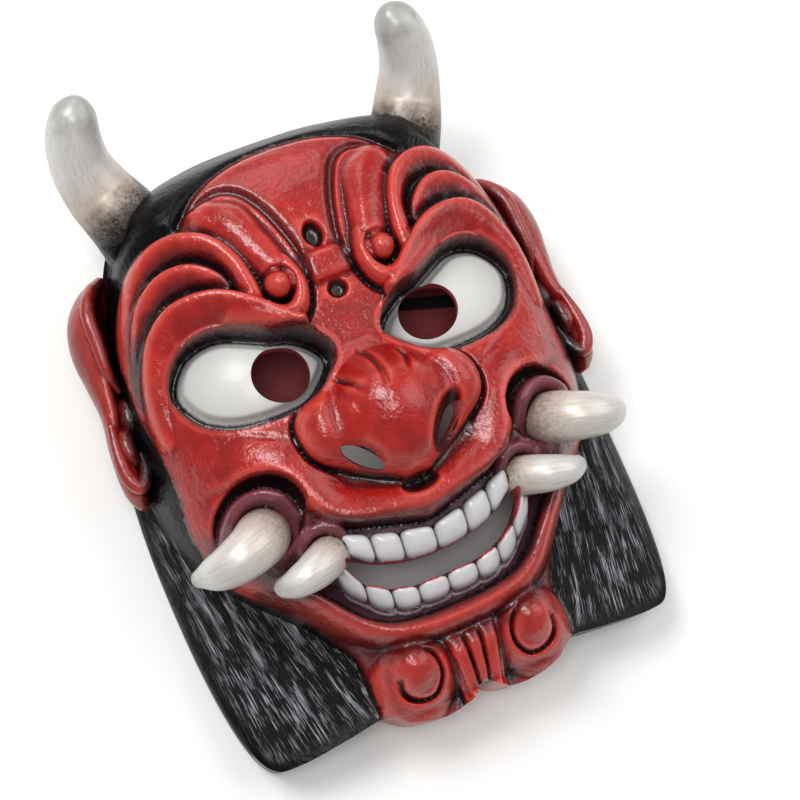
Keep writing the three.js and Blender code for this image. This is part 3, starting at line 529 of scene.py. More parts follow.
# %% Both halves, furrows, nostrils and the rise to the horns
FURROWS = [
    [[-3.6, -7.5], [-0.6, -17], [-1.8, -31]],
    [[11, -12.5], [12.4, -19.6], [8.6, -27.5]],
    [[-18, -15], [-14, -21.4], [-9.6, -29.5]],
]
FURROW = dict(width=1.25, depth=[0, 2.3, 2.7, 2.2, 0])
HAIRLINE = [
    [0, 93], [20, 90.5], [38, 82.5], [46, 75], [50, 70.5], [54.5, 69], [61.5, 70], [68.5, 69], [75.3, 65],
    [82, 57.5], [87, 47.5], [91, 35], [92, 20], [92.3, 5], [90.5, -12], [89.8, -32], [91, -46], [88, -62],
    [81, -78], [70, -90], [61, -100], [54, -110], [47.5, -119], [46, -128], [48, -136], [47, -146],
    [40, -153], [33, -158], [22, -161], [8, -160], [0, -158],
]
HORN_FOOT = dict(at=[66, 90], reach=36, height=14, from_hairline=5)
SOFTENED = 0.35


def whole(half):
    """A half grid and its mirror image side by side."""
    return np.hstack([half[:, :0:-1], half])


def blurred(heights, radius):
    """A Gaussian blur, made with a Fourier transform; radius in millimetres."""
    fy = np.fft.fftfreq(heights.shape[0], STEP)[:, None]
    fx = np.fft.rfftfreq(heights.shape[1], STEP)[None, :]
    keep = np.exp(-2 * (math.pi * radius) ** 2 * (fx**2 + fy**2))
    return np.fft.irfft2(np.fft.rfft2(heights) * keep, s=heights.shape)


across_x = np.concatenate([-grid_x[:0:-1], grid_x])
full_x, full_y = np.meshgrid(across_x, grid_y)
relief = whole(height)
for route in FURROWS:
    gap, along, _ = beside(curve(route), full_x, full_y)
    relief = relief - spread(FURROW["depth"], along) * ridge(gap, FURROW["width"])
# Far outside both, to start with
nostril = np.full(relief.shape, 9.0)
for hand, hole in NOSTRILS.items():
    out = patch_share(hole, hand * full_x, full_y)
    relief = relief - hole["depth"] * bulge(out, fullness=3)
    # The nostril field places painted shade in each funnel
    nostril = np.where(hand * full_x > 0, out + hole["painted"], nostril)
beyond_hairline = whole(inside_distance(mirrored(HAIRLINE), X, Y))
from_horn = np.hypot(np.abs(full_x) - HORN_FOOT["at"][0], full_y - HORN_FOOT["at"][1])
foot = HORN_FOOT["height"] * np.clip(1 - from_horn / HORN_FOOT["reach"], 0, 1) ** 1.5
relief = relief + foot * np.clip(beyond_hairline / HORN_FOOT["from_hairline"], 0, 1)
relief = blurred(relief, SOFTENED)
print("whole relief up to", round(relief.max(), 1), "mm")

# %% [markdown]
# ## Where shade is painted
# Dark red and black are painted where shade falls: in lines, creases and hollows. Partly this is the
# black wash that the real mask holds in its creases, and partly painted shade. How deep a place lies below
# its surroundings says how dark it is painted there. That is the difference between a blurred copy of the
# relief and the relief itself: narrow blurs find lines, wide ones find hollows. Between the overlapping
# brows a blur sees only a slope, so there the depth is a share of the way from the nearest crest down to
# the nearest bottom. Painted shade along the lobes and the jaw, and the crimson line on the cut lips,
# follow their lines.

# %% Between the brows
upper_brow, lower_brow = ROLLS["upper brow"]["route"], ROLLS["lower brow"]["route"]
BROW_VALLEYS = [[36.5, 40], [37, 46], *upper_brow[3:], [88, -2], *lower_brow[-2:2:-1], [40, 31]]
VALLEY = dict(reach=5, least_depth=1.5, softened=0.7)


def extreme(heights, pick, reach):
    """The highest or lowest place within reach, in millimetres, of each place."""
    steps = round(reach / STEP)
    for axis in (0, 1):
        heights = pick.reduce([np.roll(heights, k, axis) for k in range(-steps, steps + 1)])
    return heights


in_valleys = np.clip(0.5 - inside_distance(curve(BROW_VALLEYS, closed=True), X, Y) / 2, 0, 1)
crest = extreme(flesh, np.maximum, VALLEY["reach"])
bottom = extreme(flesh, np.minimum, VALLEY["reach"])
# Between the brows, painted shade follows this share of the way down from crest to bottom
valley = in_valleys * (crest - flesh) / np.maximum(crest - bottom, VALLEY["least_depth"])
print("valleys between the brows on", int((valley > 0.5).sum()), "places")

# %% Along the lobes, the jaw and the cut lips
# Painted shade runs outside the forehead lobe and along under the jaw
LOBE_SHADE = dict(reach=9, ends_from=0.75, ends_over=0.15)
UNDER_JAW = [
    [74, -84], [62, -100], [53, -110.5], [45, -118.5], [34, -124.5], [24, -127], [12, -129], [0, -129.5],
]
SLOT_OUTLINE = [
    [0, -94.4], [14, -93.2], [27, -89.3], [38, -83.7], [39.8, -86.5], [36, -93], [31, -97.6], [24.4, -101],
    [14, -103.6], [0, -104],
]
cut_lip = SLOT_OUTLINE[:3:-1]

lobe_gap, lobe_share, in_lobe = beside(curve(GROOVES["round the forehead lobe"]["route"]), X, Y)
ending = np.clip((lobe_share - LOBE_SHADE["ends_from"]) / LOBE_SHADE["ends_over"], 0, 1)
lobe_gap = np.minimum(lobe_gap + LOBE_SHADE["reach"] * ending, LOBE_SHADE["reach"])
# Places outside the lobe that get painted shade
print("wash outside the lobe on", int(((lobe_gap < LOBE_SHADE["reach"]) & ~in_lobe).sum()), "places")

# %% All the measures that the paint follows
BLURS = {"line": 0.9, "crease": 1.6, "furrow": 3.5, "hollow": 8}
fields = {name: blurred(relief, radius) - relief for name, radius in BLURS.items()}
fields |= {
    "eye": whole(eye_gap),
    "mouth": whole(mouth_gap),
    "socket": whole((in_socket - 1) * SOCKET["reach"][1]),
    "collar": whole(collar),
    "gum_line": whole(gum_line),
    "nostril": nostril,
    "valley": blurred(whole(valley), VALLEY["softened"]),
    "above_lobe": whole(np.where(in_lobe, LOBE_SHADE["reach"], lobe_gap)),
    "slot": whole(beside(curve(cut_lip), X, Y)[0]),
    "under_jaw": whole(beside(curve(UNDER_JAW), X, Y)[0]),
    "hair": beyond_hairline,
    "combed": whole(combed),
    "strand_across": whole(strand_across),
    "strand_along": whole(strand_along),
}
print("crease depth up to", round(fields["crease"].max(), 1), "mm")

# %% [markdown]
# ## From heights to a solid
# A boolean join needs closed solids. The relief becomes a block with a flat underside, and the rim's
# outline cuts it to shape like a knife trimming the flash off a casting. Every solid carries the same
# row of finishes, so each face keeps its own finish through all the joins.

# %% Finishes, and solids from arrays
FINISHES = [
    "painted latex face", "black latex hair with silver and painted glints", "painted latex ear", "pearl latex horn",
    "enamelled latex tooth", "bare latex",
]
finishes = {name: bpy.data.materials.new(name) for name in FINISHES}
print(len(finishes), "finishes, in one order for every solid")


def solid(name, points, faces, finish):
    """A mesh object from points in the face's own millimetres."""
    mesh = bpy.data.meshes.new(name)
    mesh.from_pydata(placed(points).tolist(), [], faces)
    for material in finishes.values():
        mesh.materials.append(material)
    mesh.polygons.foreach_set("material_index", [FINISHES.index(finish)] * len(mesh.polygons))
    mesh.update()
    made = bpy.data.objects.new(name, mesh)
    bpy.context.scene.collection.objects.link(made)
    return made


def block(name, heights, x, y, bottom, finish):
    """A closed block from a grid of heights down to a flat bottom."""
    rows, columns = heights.shape
    gx, gy = np.meshgrid(x, y)
    top = np.stack([gx, gy, heights], axis=-1).reshape(-1, 3)
    index = np.arange(rows * columns).reshape(rows, columns)
    a, b, c, d = index[:-1, :-1], index[:-1, 1:], index[1:, 1:], index[1:, :-1]
    roof = np.stack([a, b, c, d], axis=-1).reshape(-1, 4)
    edge = np.concatenate([index[0, :-1], index[:-1, -1], index[-1, :0:-1], index[:0:-1, 0]])
    floor = top[edge] * [1, 1, 0] + [0, 0, bottom]
    under = len(top) + np.arange(len(edge))
    walls = np.stack([edge, under, np.roll(under, -1), np.roll(edge, -1)], axis=-1)
    faces = [*roof.tolist(), *walls.tolist(), under[::-1].tolist()]
    return solid(name, np.vstack([top, floor]), faces, finish)


# %% Lofts and prisms
def loft(name, rings, finish):
    """A closed solid through rings of points, capped at both ends, with its faces turned outwards."""
    rings = np.asarray(rings, float)
    count, sides = rings.shape[:2]
    index = np.arange(count * sides).reshape(count, sides)
    around = np.roll(index, -1, axis=1)
    skin_faces = np.stack([index[:-1], around[:-1], around[1:], index[1:]], axis=-1).reshape(-1, 4)
    faces = [*skin_faces.tolist(), index[0, ::-1].tolist(), index[-1].tolist()]
    middle = rings.mean(axis=1)
    moved_on = np.roll(rings, -1, axis=1)
    spokes = np.cross(rings[:-1] - middle[:-1, None], moved_on[:-1] - middle[:-1, None])
    if np.einsum("ijk,ik->", spokes, np.diff(middle, axis=0)) < 0:
        faces = [face[::-1] for face in faces]
    return solid(name, rings.reshape(-1, 3), faces, finish)


def prism(name, outline, low, high, finish):
    """An outline carried straight up between two heights."""
    ring = np.column_stack([outline, np.zeros(len(outline))])
    return loft(name, [ring + [0, 0, low], ring + [0, 0, high]], finish)


# %% Boolean joins and cuts
def combine(target, tools, operation):
    """Joins tools that don't touch each other to a target, or cuts them out of it or it down to them."""
    bpy.ops.object.select_all(action="DESELECT")
    for tool in tools:
        tool.select_set(True)
    bpy.context.view_layer.objects.active = tools[0]
    if len(tools) > 1:
        bpy.ops.object.join()
    change = target.modifiers.new("combine", "BOOLEAN")
    change.operation = operation
    change.object = tools[0]
    change.solver = "MANIFOLD"
    bpy.context.view_layer.objects.active = target
    bpy.ops.object.modifier_apply(modifier=change.name)
    bpy.data.objects.remove(tools[0])
    print(operation.lower(), len(tools), "solids:", len(target.data.polygons), "faces")


# Heights well under and over the mask, for solids that are cut down to it
BELOW, ABOVE = -20, 200
mask = block("latex_mask", relief, across_x, grid_y, BELOW, "painted latex face")
combine(mask, [prism("rim", rim, 0, ABOVE, "painted latex face")], "INTERSECT")

# %% [markdown]
# ## Horns and tusks
# On the real mask these are part of the same casting. Each is a round section that tapers along a curved
# route. A bent cone would pinch in its curve, so each is a stack of rings that are turned square to the
# route. The tip is closed with a small dome, because latex can't be moulded to a needle point.

# %% Tapered solids along a route
HORN = dict(
    route=[[58, 76, 34], [66.2, 89.6, 50], [72.6, 102.7, 56.5], [76, 113.3, 66], [75, 122.7, 78],
           [69, 131.5, 91]],
    radii=[25, 18.5, 17, 16, 15, 13.8, 12.8, 11.8, 10, 6.8], slip=3)
BIG_TUSK = dict(
    route=[[63, -58, 56], [67, -62.5, 71], [75, -67, 80.5], [86, -69.5, 78], [98, -67.3, 62]],
    radii=[11.4, 11.4, 10.2, 7.6, 3.6], slip=0)
SMALL_TUSK = dict(
    route=[[39, -76, 56], [45, -80, 69], [54, -84, 76], [63, -85.5, 75], [70, -84, 70]],
    radii=[8, 8.5, 8.2, 6.6, 3.8], slip=0)
RINGS = 56
DOME_RINGS = 8
DOME_ANGLES = [0.2, 1.5]
SIDES = 44


def framed(part, share, hand=1):
    """Places at shares of a part's route, each with two directions square to the route; then its length."""
    path = curve(part["route"], 16)
    run = np.concatenate([[0], np.cumsum(np.linalg.norm(np.diff(path, axis=0), axis=1))])
    centre = np.stack([np.interp(share * run[-1], run, path[:, k]) for k in range(3)], axis=-1)
    normal = np.array([0.0, 0.0, 1.0])
    normals, sides = [], []
    for way in np.gradient(centre, axis=0):
        way = way / np.linalg.norm(way)
        normal = normal - way * (normal @ way)
        normal = normal / np.linalg.norm(normal)
        normals.append(normal)
        sides.append(np.cross(way, normal))
    mirror = np.array([hand, 1, 1])
    centre = centre - [0, hand * part["slip"], 0]
    return centre * mirror, normals * mirror, sides * mirror, run[-1]


def tapered(name, part, hand, finish="pearl latex horn"):
    """A round solid along a route, tapering from its first radius to a domed tip."""
    tip = part["radii"][-1] / framed(part, np.linspace(0, 1, 9))[-1]
    dome = 1 - tip * (1 - np.sin(np.linspace(*DOME_ANGLES, DOME_RINGS)))
    share = np.concatenate([np.linspace(0, 1 - tip, RINGS), dome])
    centre, normals, sides, _ = framed(part, share, hand)
    radius = profile(list(zip(np.linspace(0, 1, len(part["radii"])), part["radii"])))(share)
    radius = radius * np.sqrt(1 - np.clip((share - 1 + tip) / tip, 0, 1) ** 2)
    turn = 2 * math.pi * np.arange(SIDES) / SIDES
    rings = [
        middle + r * (np.outer(np.cos(turn), normal) + np.outer(np.sin(turn), side))
        for middle, normal, side, r in zip(centre, normals, sides, radius)
    ]
    return loft(name, rings, finish)


limbs = [
    tapered(name, part, hand)
    for hand in (-1, 1)
    for name, part in (("horn", HORN), ("big_tusk", BIG_TUSK), ("small_tusk", SMALL_TUSK))
]
print(len(limbs), "horns and tusks")

# %% [markdown]
# ## Ears
# The ear is a long leaf: a rolled rim round a hollow, with a small lump in front of the ear canal and a
# hooked lobe. It stands out over the hair, so heights alone can't hold it. It is lofted through sections
# from tip to lobe, like ribs of a boat, and the lumps are separate solids pressed into it.

# %% Ears
EAR_SLIP = 8
# y of the section, then x and z of the front root, the hollow, the crest, the back and the rear root
EAR = [
    [68, [82, 31], [84, 33], [86, 35], [87, 33], [84, 29]],
    [61, [81, 26], [87, 34], [92, 44], [98, 36], [88, 18]],
    [50, [86, 24], [91, 34], [97, 49], [106, 38], [95, 16]],
    [36, [90, 24], [94, 33], [98, 49], [109, 38], [100, 13]],
    [22, [91, 24], [95, 31], [99, 46], [108, 37], [101, 12]],
    [8, [92, 24], [96, 31], [101, 43], [107, 36], [102, 12]],
    [-6, [94, 22], [99, 32], [104, 42], [109, 36], [103, 12]],
    [-20, [97, 20], [100, 36], [104, 42], [110, 35], [104, 14]],
    [-29, [99, 20], [101, 33], [104, 38], [109, 32], [104, 16]],
    [-34, [102, 24], [103, 28], [104, 30], [106, 28], [104, 22]],
]
EAR_RIM = dict(
    route=[[85, 66, 34], [91, 60, 43], [96, 50, 48.5], [97, 36, 48.5], [97.5, 24, 46], [95.5, 14, 41]],
    radii=[2.4, 3.2, 3.4, 3.2, 2.6, 1.5], slip=EAR_SLIP)
EAR_HOOK = dict(
    route=[[104.5, 2, 41], [106, -10, 42], [106, -21, 42], [102.5, -27, 41], [98, -22, 40], [97, -12, 37]],
    radii=[2, 2.6, 3.2, 3.4, 2.8, 1.5], slip=EAR_SLIP)
EAR_LUMP = dict(
    route=[[95, 12, 33], [95, 8, 37], [96, 2, 39], [98, -3, 37]], radii=[2.5, 4.2, 4, 2], slip=EAR_SLIP)
LOBE_LUMP = dict(
    route=[[100, 0, 35], [101, -6, 40], [101.5, -12, 40.5], [101, -18, 38]], radii=[2.5, 3.8, 3.6, 2],
    slip=EAR_SLIP)


def ear(hand):
    """One ear, with its rolled rim, its hook and its lumps."""
    ribs = np.array([[[x, y, z] for x, z in points] for y, *points in EAR])
    ribs = curve(ribs.reshape(len(EAR), -1), 6).reshape(-1, 5, 3)
    rings = [curve(rib, 7, closed=True) for rib in ribs]
    rings = (np.array(rings) - [0, hand * EAR_SLIP, 0]) * [hand, 1, 1]
    made = loft("ear", rings, "painted latex ear")
    for name, part in (("rim", EAR_RIM), ("hook", EAR_HOOK), ("lump", EAR_LUMP), ("lobe", LOBE_LUMP)):
        combine(made, [tapered(name, part, hand, "painted latex ear")], "UNION")
    return made


limbs += [ear(hand) for hand in (-1, 1)]
combine(mask, limbs, "UNION")

# %% [markdown]
# ## The hollow
# The casting is hollow: latex poured into the mould leaves a skin a few millimetres thick. The lining is
# the outside moved inwards, as if a ball of that size rolled along under it. It bridges narrow creases,
# where liquid latex pools. The back is closed behind the crown and open below for the neck.

# %% Lining and back
WALL = 4
POOLING = 2
FLOOR = 3
CAP_EDGE_Y = -15
CAP_REACH = 130
# The lining is plain, so every third place of the grid is enough
LINING_SKIP = 3


def inset(outline, distance):
    """A closed outline moved inwards."""
    along = np.roll(outline, -1, axis=0) - np.roll(outline, 1, axis=0)
    along /= np.linalg.norm(along, axis=1)[:, None]
    return outline + distance * np.column_stack([-along[:, 1], along[:, 0]])


reach = math.ceil((WALL + POOLING) / STEP)
lining = np.full(relief.shape, 1e3)
for j in range(-reach, reach + 1):
    for i in range(-reach, reach + 1):
        under = (WALL + POOLING) ** 2 - (i * STEP) ** 2 - (j * STEP) ** 2
        if under < 0:
            continue
        moved = np.roll(relief, (j, i), axis=(0, 1))
        lining = np.minimum(lining, moved - math.sqrt(under) + POOLING)
few = slice(None, None, LINING_SKIP)
hollow = block("hollow", lining[few, few], across_x[few], grid_y[few], BELOW, "bare latex")
# Each cutter ends at heights of its own, so that no two faces lie in one plane
combine(hollow, [prism("room", inset(rim, WALL), BELOW + 15, ABOVE - 10, "bare latex")], "INTERSECT")
cap = np.array([
    [-CAP_REACH, CAP_EDGE_Y], [CAP_REACH, CAP_EDGE_Y], [CAP_REACH, CAP_REACH], [-CAP_REACH, CAP_REACH],
])
combine(hollow, [prism("cap", cap, BELOW - 10, FLOOR, "bare latex")], "DIFFERENCE")
combine(mask, [hollow], "DIFFERENCE")

# %% [markdown]
# ## Teeth
# Each tooth is a rounded block that stands on the gums between two parting lines. One tooth could be copied
# along an arch, but here each has its own width and height. So each is a stack of squarish rings between its
# own lines, which draw in towards the top like a pillow.

# %% Teeth
# How far out each ring of a tooth lies, as a share, and its height over the gum
TOOTH_RINGS = [[1, -4], [1, 2], [0.98, 3.6], [0.92, 5], [0.79, 6.2], [0.54, 7], [0.2, 7.3]]
TOOTH_SIDES = 36
TOOTH_GAP = 0.15


def tooth(row, i, hand):
    """One tooth between two parting lines."""
    turn = 2 * math.pi * np.arange(TOOTH_SIDES) / TOOTH_SIDES
    u = np.sign(np.cos(turn)) * np.abs(np.cos(turn)) ** row["roundness"]
    v = np.sign(np.sin(turn)) * np.abs(np.sin(turn)) ** row["roundness"]
    low, high = row["parts"][i] + TOOTH_GAP, row["parts"][i + 1] - TOOTH_GAP
    top, bottom = profile(row["top"]), profile(row["bottom"])
    rings = []
    for share, rise in TOOTH_RINGS:
        x = low + (high - low) * (1 + share * u) / 2
        y = bottom(x) + (top(x) - bottom(x)) * (1 + share * v) / 2
        rings.append(np.stack([hand * x, y, gum_height(x, y) + rise], axis=-1))
    return loft("tooth", rings, "enamelled latex tooth")


teeth = [
    tooth(row, i, hand)
    for hand in (-1, 1)
    for row in TEETH
    for i in range(len(row["parts"]) - 1)
]
combine(mask, teeth, "UNION")

# %% [markdown]
# ## Holes to see and breathe through
# After casting, the maker cuts the eyes, the nostrils and the slot between the teeth with a knife. A boolean
# cut does the same: it leaves sharp edges and shows how thick the latex is, which a painted hole wouldn't.

# %% Eye holes, nostrils and mouth slot
EYE_HOLE = dict(at=[34.3, -2.2], reach=[12.6, 11.9], turn=0, lift=1.2)
NOSTRIL_HOLE = dict(at=[18.8, -50.2], reach=[9.6, 4], turn=0.82, lift=0)
NOSTRIL_LEAN = [0.28, -0.18]
NOSTRIL_Z = 88
# The heights that each cut runs between
EYE_CUT = [30, 140]
NOSTRIL_CUT = [72, 120]
SLOT_CUT = [20, 120]


def ellipse(at, reach, turn, lift, hand, steps=64):
    """A turned ellipse, mirrored for the left hand; cut by hand, it sits a little higher on the right."""
    angle = 2 * math.pi * np.arange(steps) / steps
    u, v = reach[0] * np.cos(angle), reach[1] * np.sin(angle)
    x = at[0] + u * math.cos(turn) - v * math.sin(turn)
    y = at[1] + hand * lift + u * math.sin(turn) + v * math.cos(turn)
    return np.column_stack([hand * x, y])


def leaning(name, outline, at_z, lean, low, high):
    """An outline carried up at a slant: it moves sideways by lean for each millimetre up."""
    ring = np.column_stack([outline, np.zeros(len(outline))])
    way = np.array([*lean, 1])
    return loft(name, [ring + [0, 0, at_z] + (z - at_z) * way for z in (low, high)], "bare latex")


holes = []
for hand in (-1, 1):
    holes.append(prism("eye hole", ellipse(hand=hand, **EYE_HOLE), *EYE_CUT, "bare latex"))
    lean = [hand * NOSTRIL_LEAN[0], NOSTRIL_LEAN[1]]
    holes.append(leaning("nostril", ellipse(hand=hand, **NOSTRIL_HOLE), NOSTRIL_Z, lean, *NOSTRIL_CUT))
holes.append(prism("slot", mirrored(SLOT_OUTLINE), *SLOT_CUT, "bare latex"))
combine(mask, holes, "DIFFERENCE")

# %% [markdown]
# ## One skin
# The booleans leave fine and coarse faces side by side. A decimate pass brings the skin to a size that is
# easy to handle and spends faces where it bends. Shading is smooth, apart from edges that a knife or a
# parting line left sharp.

# %% Thin the mesh and shade it
MOST_TRIANGLES = 190000
SHARP_EDGE = math.radians(55)


def triangles(mesh):
    return sum(p.loop_total - 2 for p in mesh.polygons)


count = triangles(mask.data)
if count > MOST_TRIANGLES:
    thin = mask.modifiers.new("thin", "DECIMATE")
    thin.ratio = MOST_TRIANGLES / count
    bpy.context.view_layer.objects.active = mask
    bpy.ops.object.modifier_apply(modifier=thin.name)
mask.data.shade_smooth()
mask.data.set_sharp_from_angle(angle=SHARP_EDGE)
print("mask:", count, "triangles, thinned to", triangles(mask.data))

# %% [markdown]
# ## What the paint needs to know
# The measures worked out on the grid are read back at each point of the skin, in millimetres. A second
# crease depth comes from the mesh itself, so that it also knows the corners round horns, tusks and teeth.
# On the limbs, paint was brushed lengthwise, so each point also learns where it lies along and around them.

# %% Measures read from the grid and the mesh
NOOK_ROUNDS = 10
points = np.empty(3 * len(mask.data.vertices))
mask.data.vertices.foreach_get("co", points)
points = points.reshape(-1, 3) / MM + [0, ORIGIN_Y, 0]


def sampled(grid, x, y):
    """A grid's value between its places."""
    # Just short of the last place, so that each place has a next one
    i = np.clip((x - across_x[0]) / STEP, 0, grid.shape[1] - 1.001)
    j = np.clip((y - LOW_Y) / STEP, 0, grid.shape[0] - 1.001)
    i0, j0 = i.astype(int), j.astype(int)
    u, v = i - i0, j - j0
    low = grid[j0, i0] * (1 - u) + grid[j0, i0 + 1] * u
    high = grid[j0 + 1, i0] * (1 - u) + grid[j0 + 1, i0 + 1] * u
    return low * (1 - v) + high * v


def nook(mesh, places, rounds):
    """How deep each point lies below its neighbourhood, in millimetres; negative on ridges."""
    edges = np.empty(2 * len(mesh.edges), int)
    mesh.edges.foreach_get("vertices", edges)
    a, b = edges.reshape(-1, 2).T
    links = np.bincount(a, minlength=len(places)) + np.bincount(b, minlength=len(places))
    smooth = places.copy()
    for _ in range(rounds):
        total = np.stack([
            np.bincount(a, smooth[b, k], len(places)) + np.bincount(b, smooth[a, k], len(places))
            for k in range(3)
        ], axis=-1)
        smooth = 0.5 * smooth + 0.5 * total / links[:, None]
    normals = np.empty(3 * len(places))
    mesh.vertex_normals.foreach_get("vector", normals)
    return np.einsum("ij,ij->i", smooth - places, normals.reshape(-1, 3))


fields = {name: sampled(grid, points[:, 0], points[:, 1]) for name, grid in fields.items()}
fields["nook"] = nook(mask.data, points, NOOK_ROUNDS)
print("deepest nook", round(fields["nook"].max(), 1), "mm")

# %% Measures along and around the limbs
STATIONS = 60
HORN_REACH = 40
# A limb's radius half way along, as a share of its first one
MIDDLE_SHARE = 0.7


def brushed(places, parts):
    """Of the nearest limb: share of the way to its tip, millimetres along and around, and distance."""
    nearest = np.full(len(places), 1e9)
    tipward, along, around = np.ones((3, len(places)))
    share = np.linspace(0, 1, STATIONS)
    for hand, part in [(hand, part) for hand in (-1, 1) for part in parts]:
        centre, normals, sides, length = framed(part, share, hand)
        middle_radius = part["radii"][0] * MIDDLE_SHARE
        for middle, normal, side, s in zip(centre, normals, sides, share):
            spoke = places - middle
            gap = np.linalg.norm(spoke, axis=1)
            closer = gap < nearest
            angle = np.arctan2(spoke @ side, spoke @ normal)
            nearest = np.where(closer, gap, nearest)
            tipward = np.where(closer, s, tipward)
            along = np.where(closer, s * length, along)
            around = np.where(closer, angle * middle_radius, around)
    return tipward, along, around, nearest


def beyond(part):
    """How far places lie outside a limb's first radius."""
    return brushed(points, [part])[3] - part["radii"][0]


all_limbs = brushed(points, [HORN, BIG_TUSK, SMALL_TUSK])
fields["tipward"], fields["stroke_along"], fields["stroke_around"], _ = all_limbs
horn_share, _, _, horn_gap = brushed(points, [HORN])
fields["beside_tusk"] = np.minimum(beyond(BIG_TUSK), beyond(SMALL_TUSK))
fields["horn"] = np.where(horn_gap < HORN_REACH, horn_share, 1)
crest_x = profile([[y, ear_crest[0]] for y, _, _, ear_crest, *_ in EAR[::-1]])
unslipped_y = points[:, 1] + EAR_SLIP * np.sign(points[:, 0])
fields["ear_hollow"] = crest_x(unslipped_y) - np.abs(points[:, 0])
for name, values in fields.items():
    mask.data.attributes.new(name, "FLOAT", "POINT").data.foreach_set("value", values.astype(np.float32))
print("measures:", ", ".join(fields))

# %% Hair finish beyond the hairline and on the horns' roots
# In millimetres past the hairline, and as a share of the way up the horn
HAIR_FROM = 0.3
ROOT_TO = 0.27
corners = np.empty(len(mask.data.loops), dtype=np.int32)
mask.data.loops.foreach_get("vertex_index", corners)
first_corner, finish_at = np.empty((2, len(mask.data.polygons)), dtype=np.int32)
mask.data.polygons.foreach_get("loop_start", first_corner)
mask.data.polygons.foreach_get("material_index", finish_at)
hair_faces = np.minimum.reduceat(fields["hair"][corners], first_corner) > HAIR_FROM
root_faces = np.maximum.reduceat(fields["horn"][corners], first_corner) < ROOT_TO
for faces, finish in ((hair_faces, "painted latex face"), (root_faces, "pearl latex horn")):
    finish_at[faces & (finish_at == FINISHES.index(finish))] = FINISHES.index("black latex hair with silver and painted glints")
mask.data.polygons.foreach_set("material_index", finish_at)
print(int((finish_at == FINISHES.index("black latex hair with silver and painted glints")).sum()), "faces of hair")

# %% [markdown]
# ## The elastic band
# A flat woven elastic about 6 mm wide crosses the hollow behind the eyes. Only a short stretch shows,
# through an eye hole. Its ribs are the rubber threads, covered with yarn, so they are modelled as rounded
# ribs. It runs from corner to corner of its CAD box, which gives its slope.

# %% Ribbed band
BAND = dict(width=6, thick=1.5, ribs=5, steps=90, clear=0.3, clear_flat=0.1, between_ribs=0.62)
# From a corner of the box to the middle of the band's end
INWARD = np.array([1, -3.5])
band_low, band_high = (np.array(corner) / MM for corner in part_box("elastic_strap"))
half_width = BAND["width"] / 2 - BAND["clear"]
left_end = [band_low[0], band_high[1]] + INWARD
right_end = [band_high[0], band_low[1]] - INWARD
way = (right_end - left_end) / np.linalg.norm(right_end - left_end)
across_band = np.array([-way[1], way[0]])
middle_z = (band_low[2] + band_high[2]) / 2
span = np.linspace(-1, 1, 8 * BAND["ribs"] + 1)
swell = np.abs(np.sin(math.pi * BAND["ribs"] * (span + 1) / 2)) ** 0.5
half_thick = BAND["thick"] / 2 - BAND["clear_flat"]
half_thick = half_thick * (BAND["between_ribs"] + (1 - BAND["between_ribs"]) * swell)
section = np.concatenate([
    np.column_stack([span * half_width, half_thick]),
    np.column_stack([span * half_width, -half_thick])[::-1],
])
band_rings = []
for share in np.linspace(0, 1, BAND["steps"]):
    centre = left_end + share * (right_end - left_end)
    flat = centre + np.outer(section[:, 0], across_band)
    band_rings.append(np.column_stack([flat, middle_z + section[:, 1]]) + [0, ORIGIN_Y, 0])
band = loft("elastic_band", band_rings, "painted latex face")
band.data.shade_smooth()
band.data.set_sharp_from_angle(angle=SHARP_EDGE)
band_length = float(np.linalg.norm(right_end - left_end))
print("band", round(band_length), "mm long with", BAND["ribs"], "ribs a side")

# %% [markdown]
# ## Colours and nodes
# A hex code from a paint chart holds sRGB values, but a shader works with linear light, so one function
# turns them. Another adds a node, with its settings and its links in one call.

# %% Helpers for materials
def linear(code):
    """An sRGB hex colour as linear red, green, blue and alpha."""
    channels = [int(code[i:i + 2], 16) / 255 for i in (1, 3, 5)]
    return [c / 12.92 if c <= 0.04045 else ((c + 0.055) / 1.055) ** 2.4 for c in channels] + [1]


def add(tree, kind, inputs=None, **settings):
    """Adds a node; an input is given a value or is linked to another node's output."""
    made = tree.nodes.new(kind)
    for key, value in settings.items():
        setattr(made, key, value)
    for key, value in (inputs or {}).items():
        if isinstance(value, bpy.types.NodeSocket):
            tree.links.new(value, made.inputs[key])
        else:
            made.inputs[key].default_value = value
    return made


def begun(material):
    """An empty node tree, with the place on the object in metres."""
    material.use_nodes = True
    tree = material.node_tree
    tree.nodes.clear()
    return tree, add(tree, "ShaderNodeTexCoord").outputs["Object"]


def finished(tree, **inputs):
    """The surface shader and the output; underscores in a name stand for spaces."""
    shader = add(tree, "ShaderNodeBsdfPrincipled", {key.replace("_", " "): v for key, v in inputs.items()})
    add(tree, "ShaderNodeOutputMaterial", {"Surface": shader.outputs["BSDF"]})


def only_finish(piece, material):
    """Takes every finish off a piece and gives it this one."""
    piece.data.materials.clear()
    piece.data.materials.append(material)


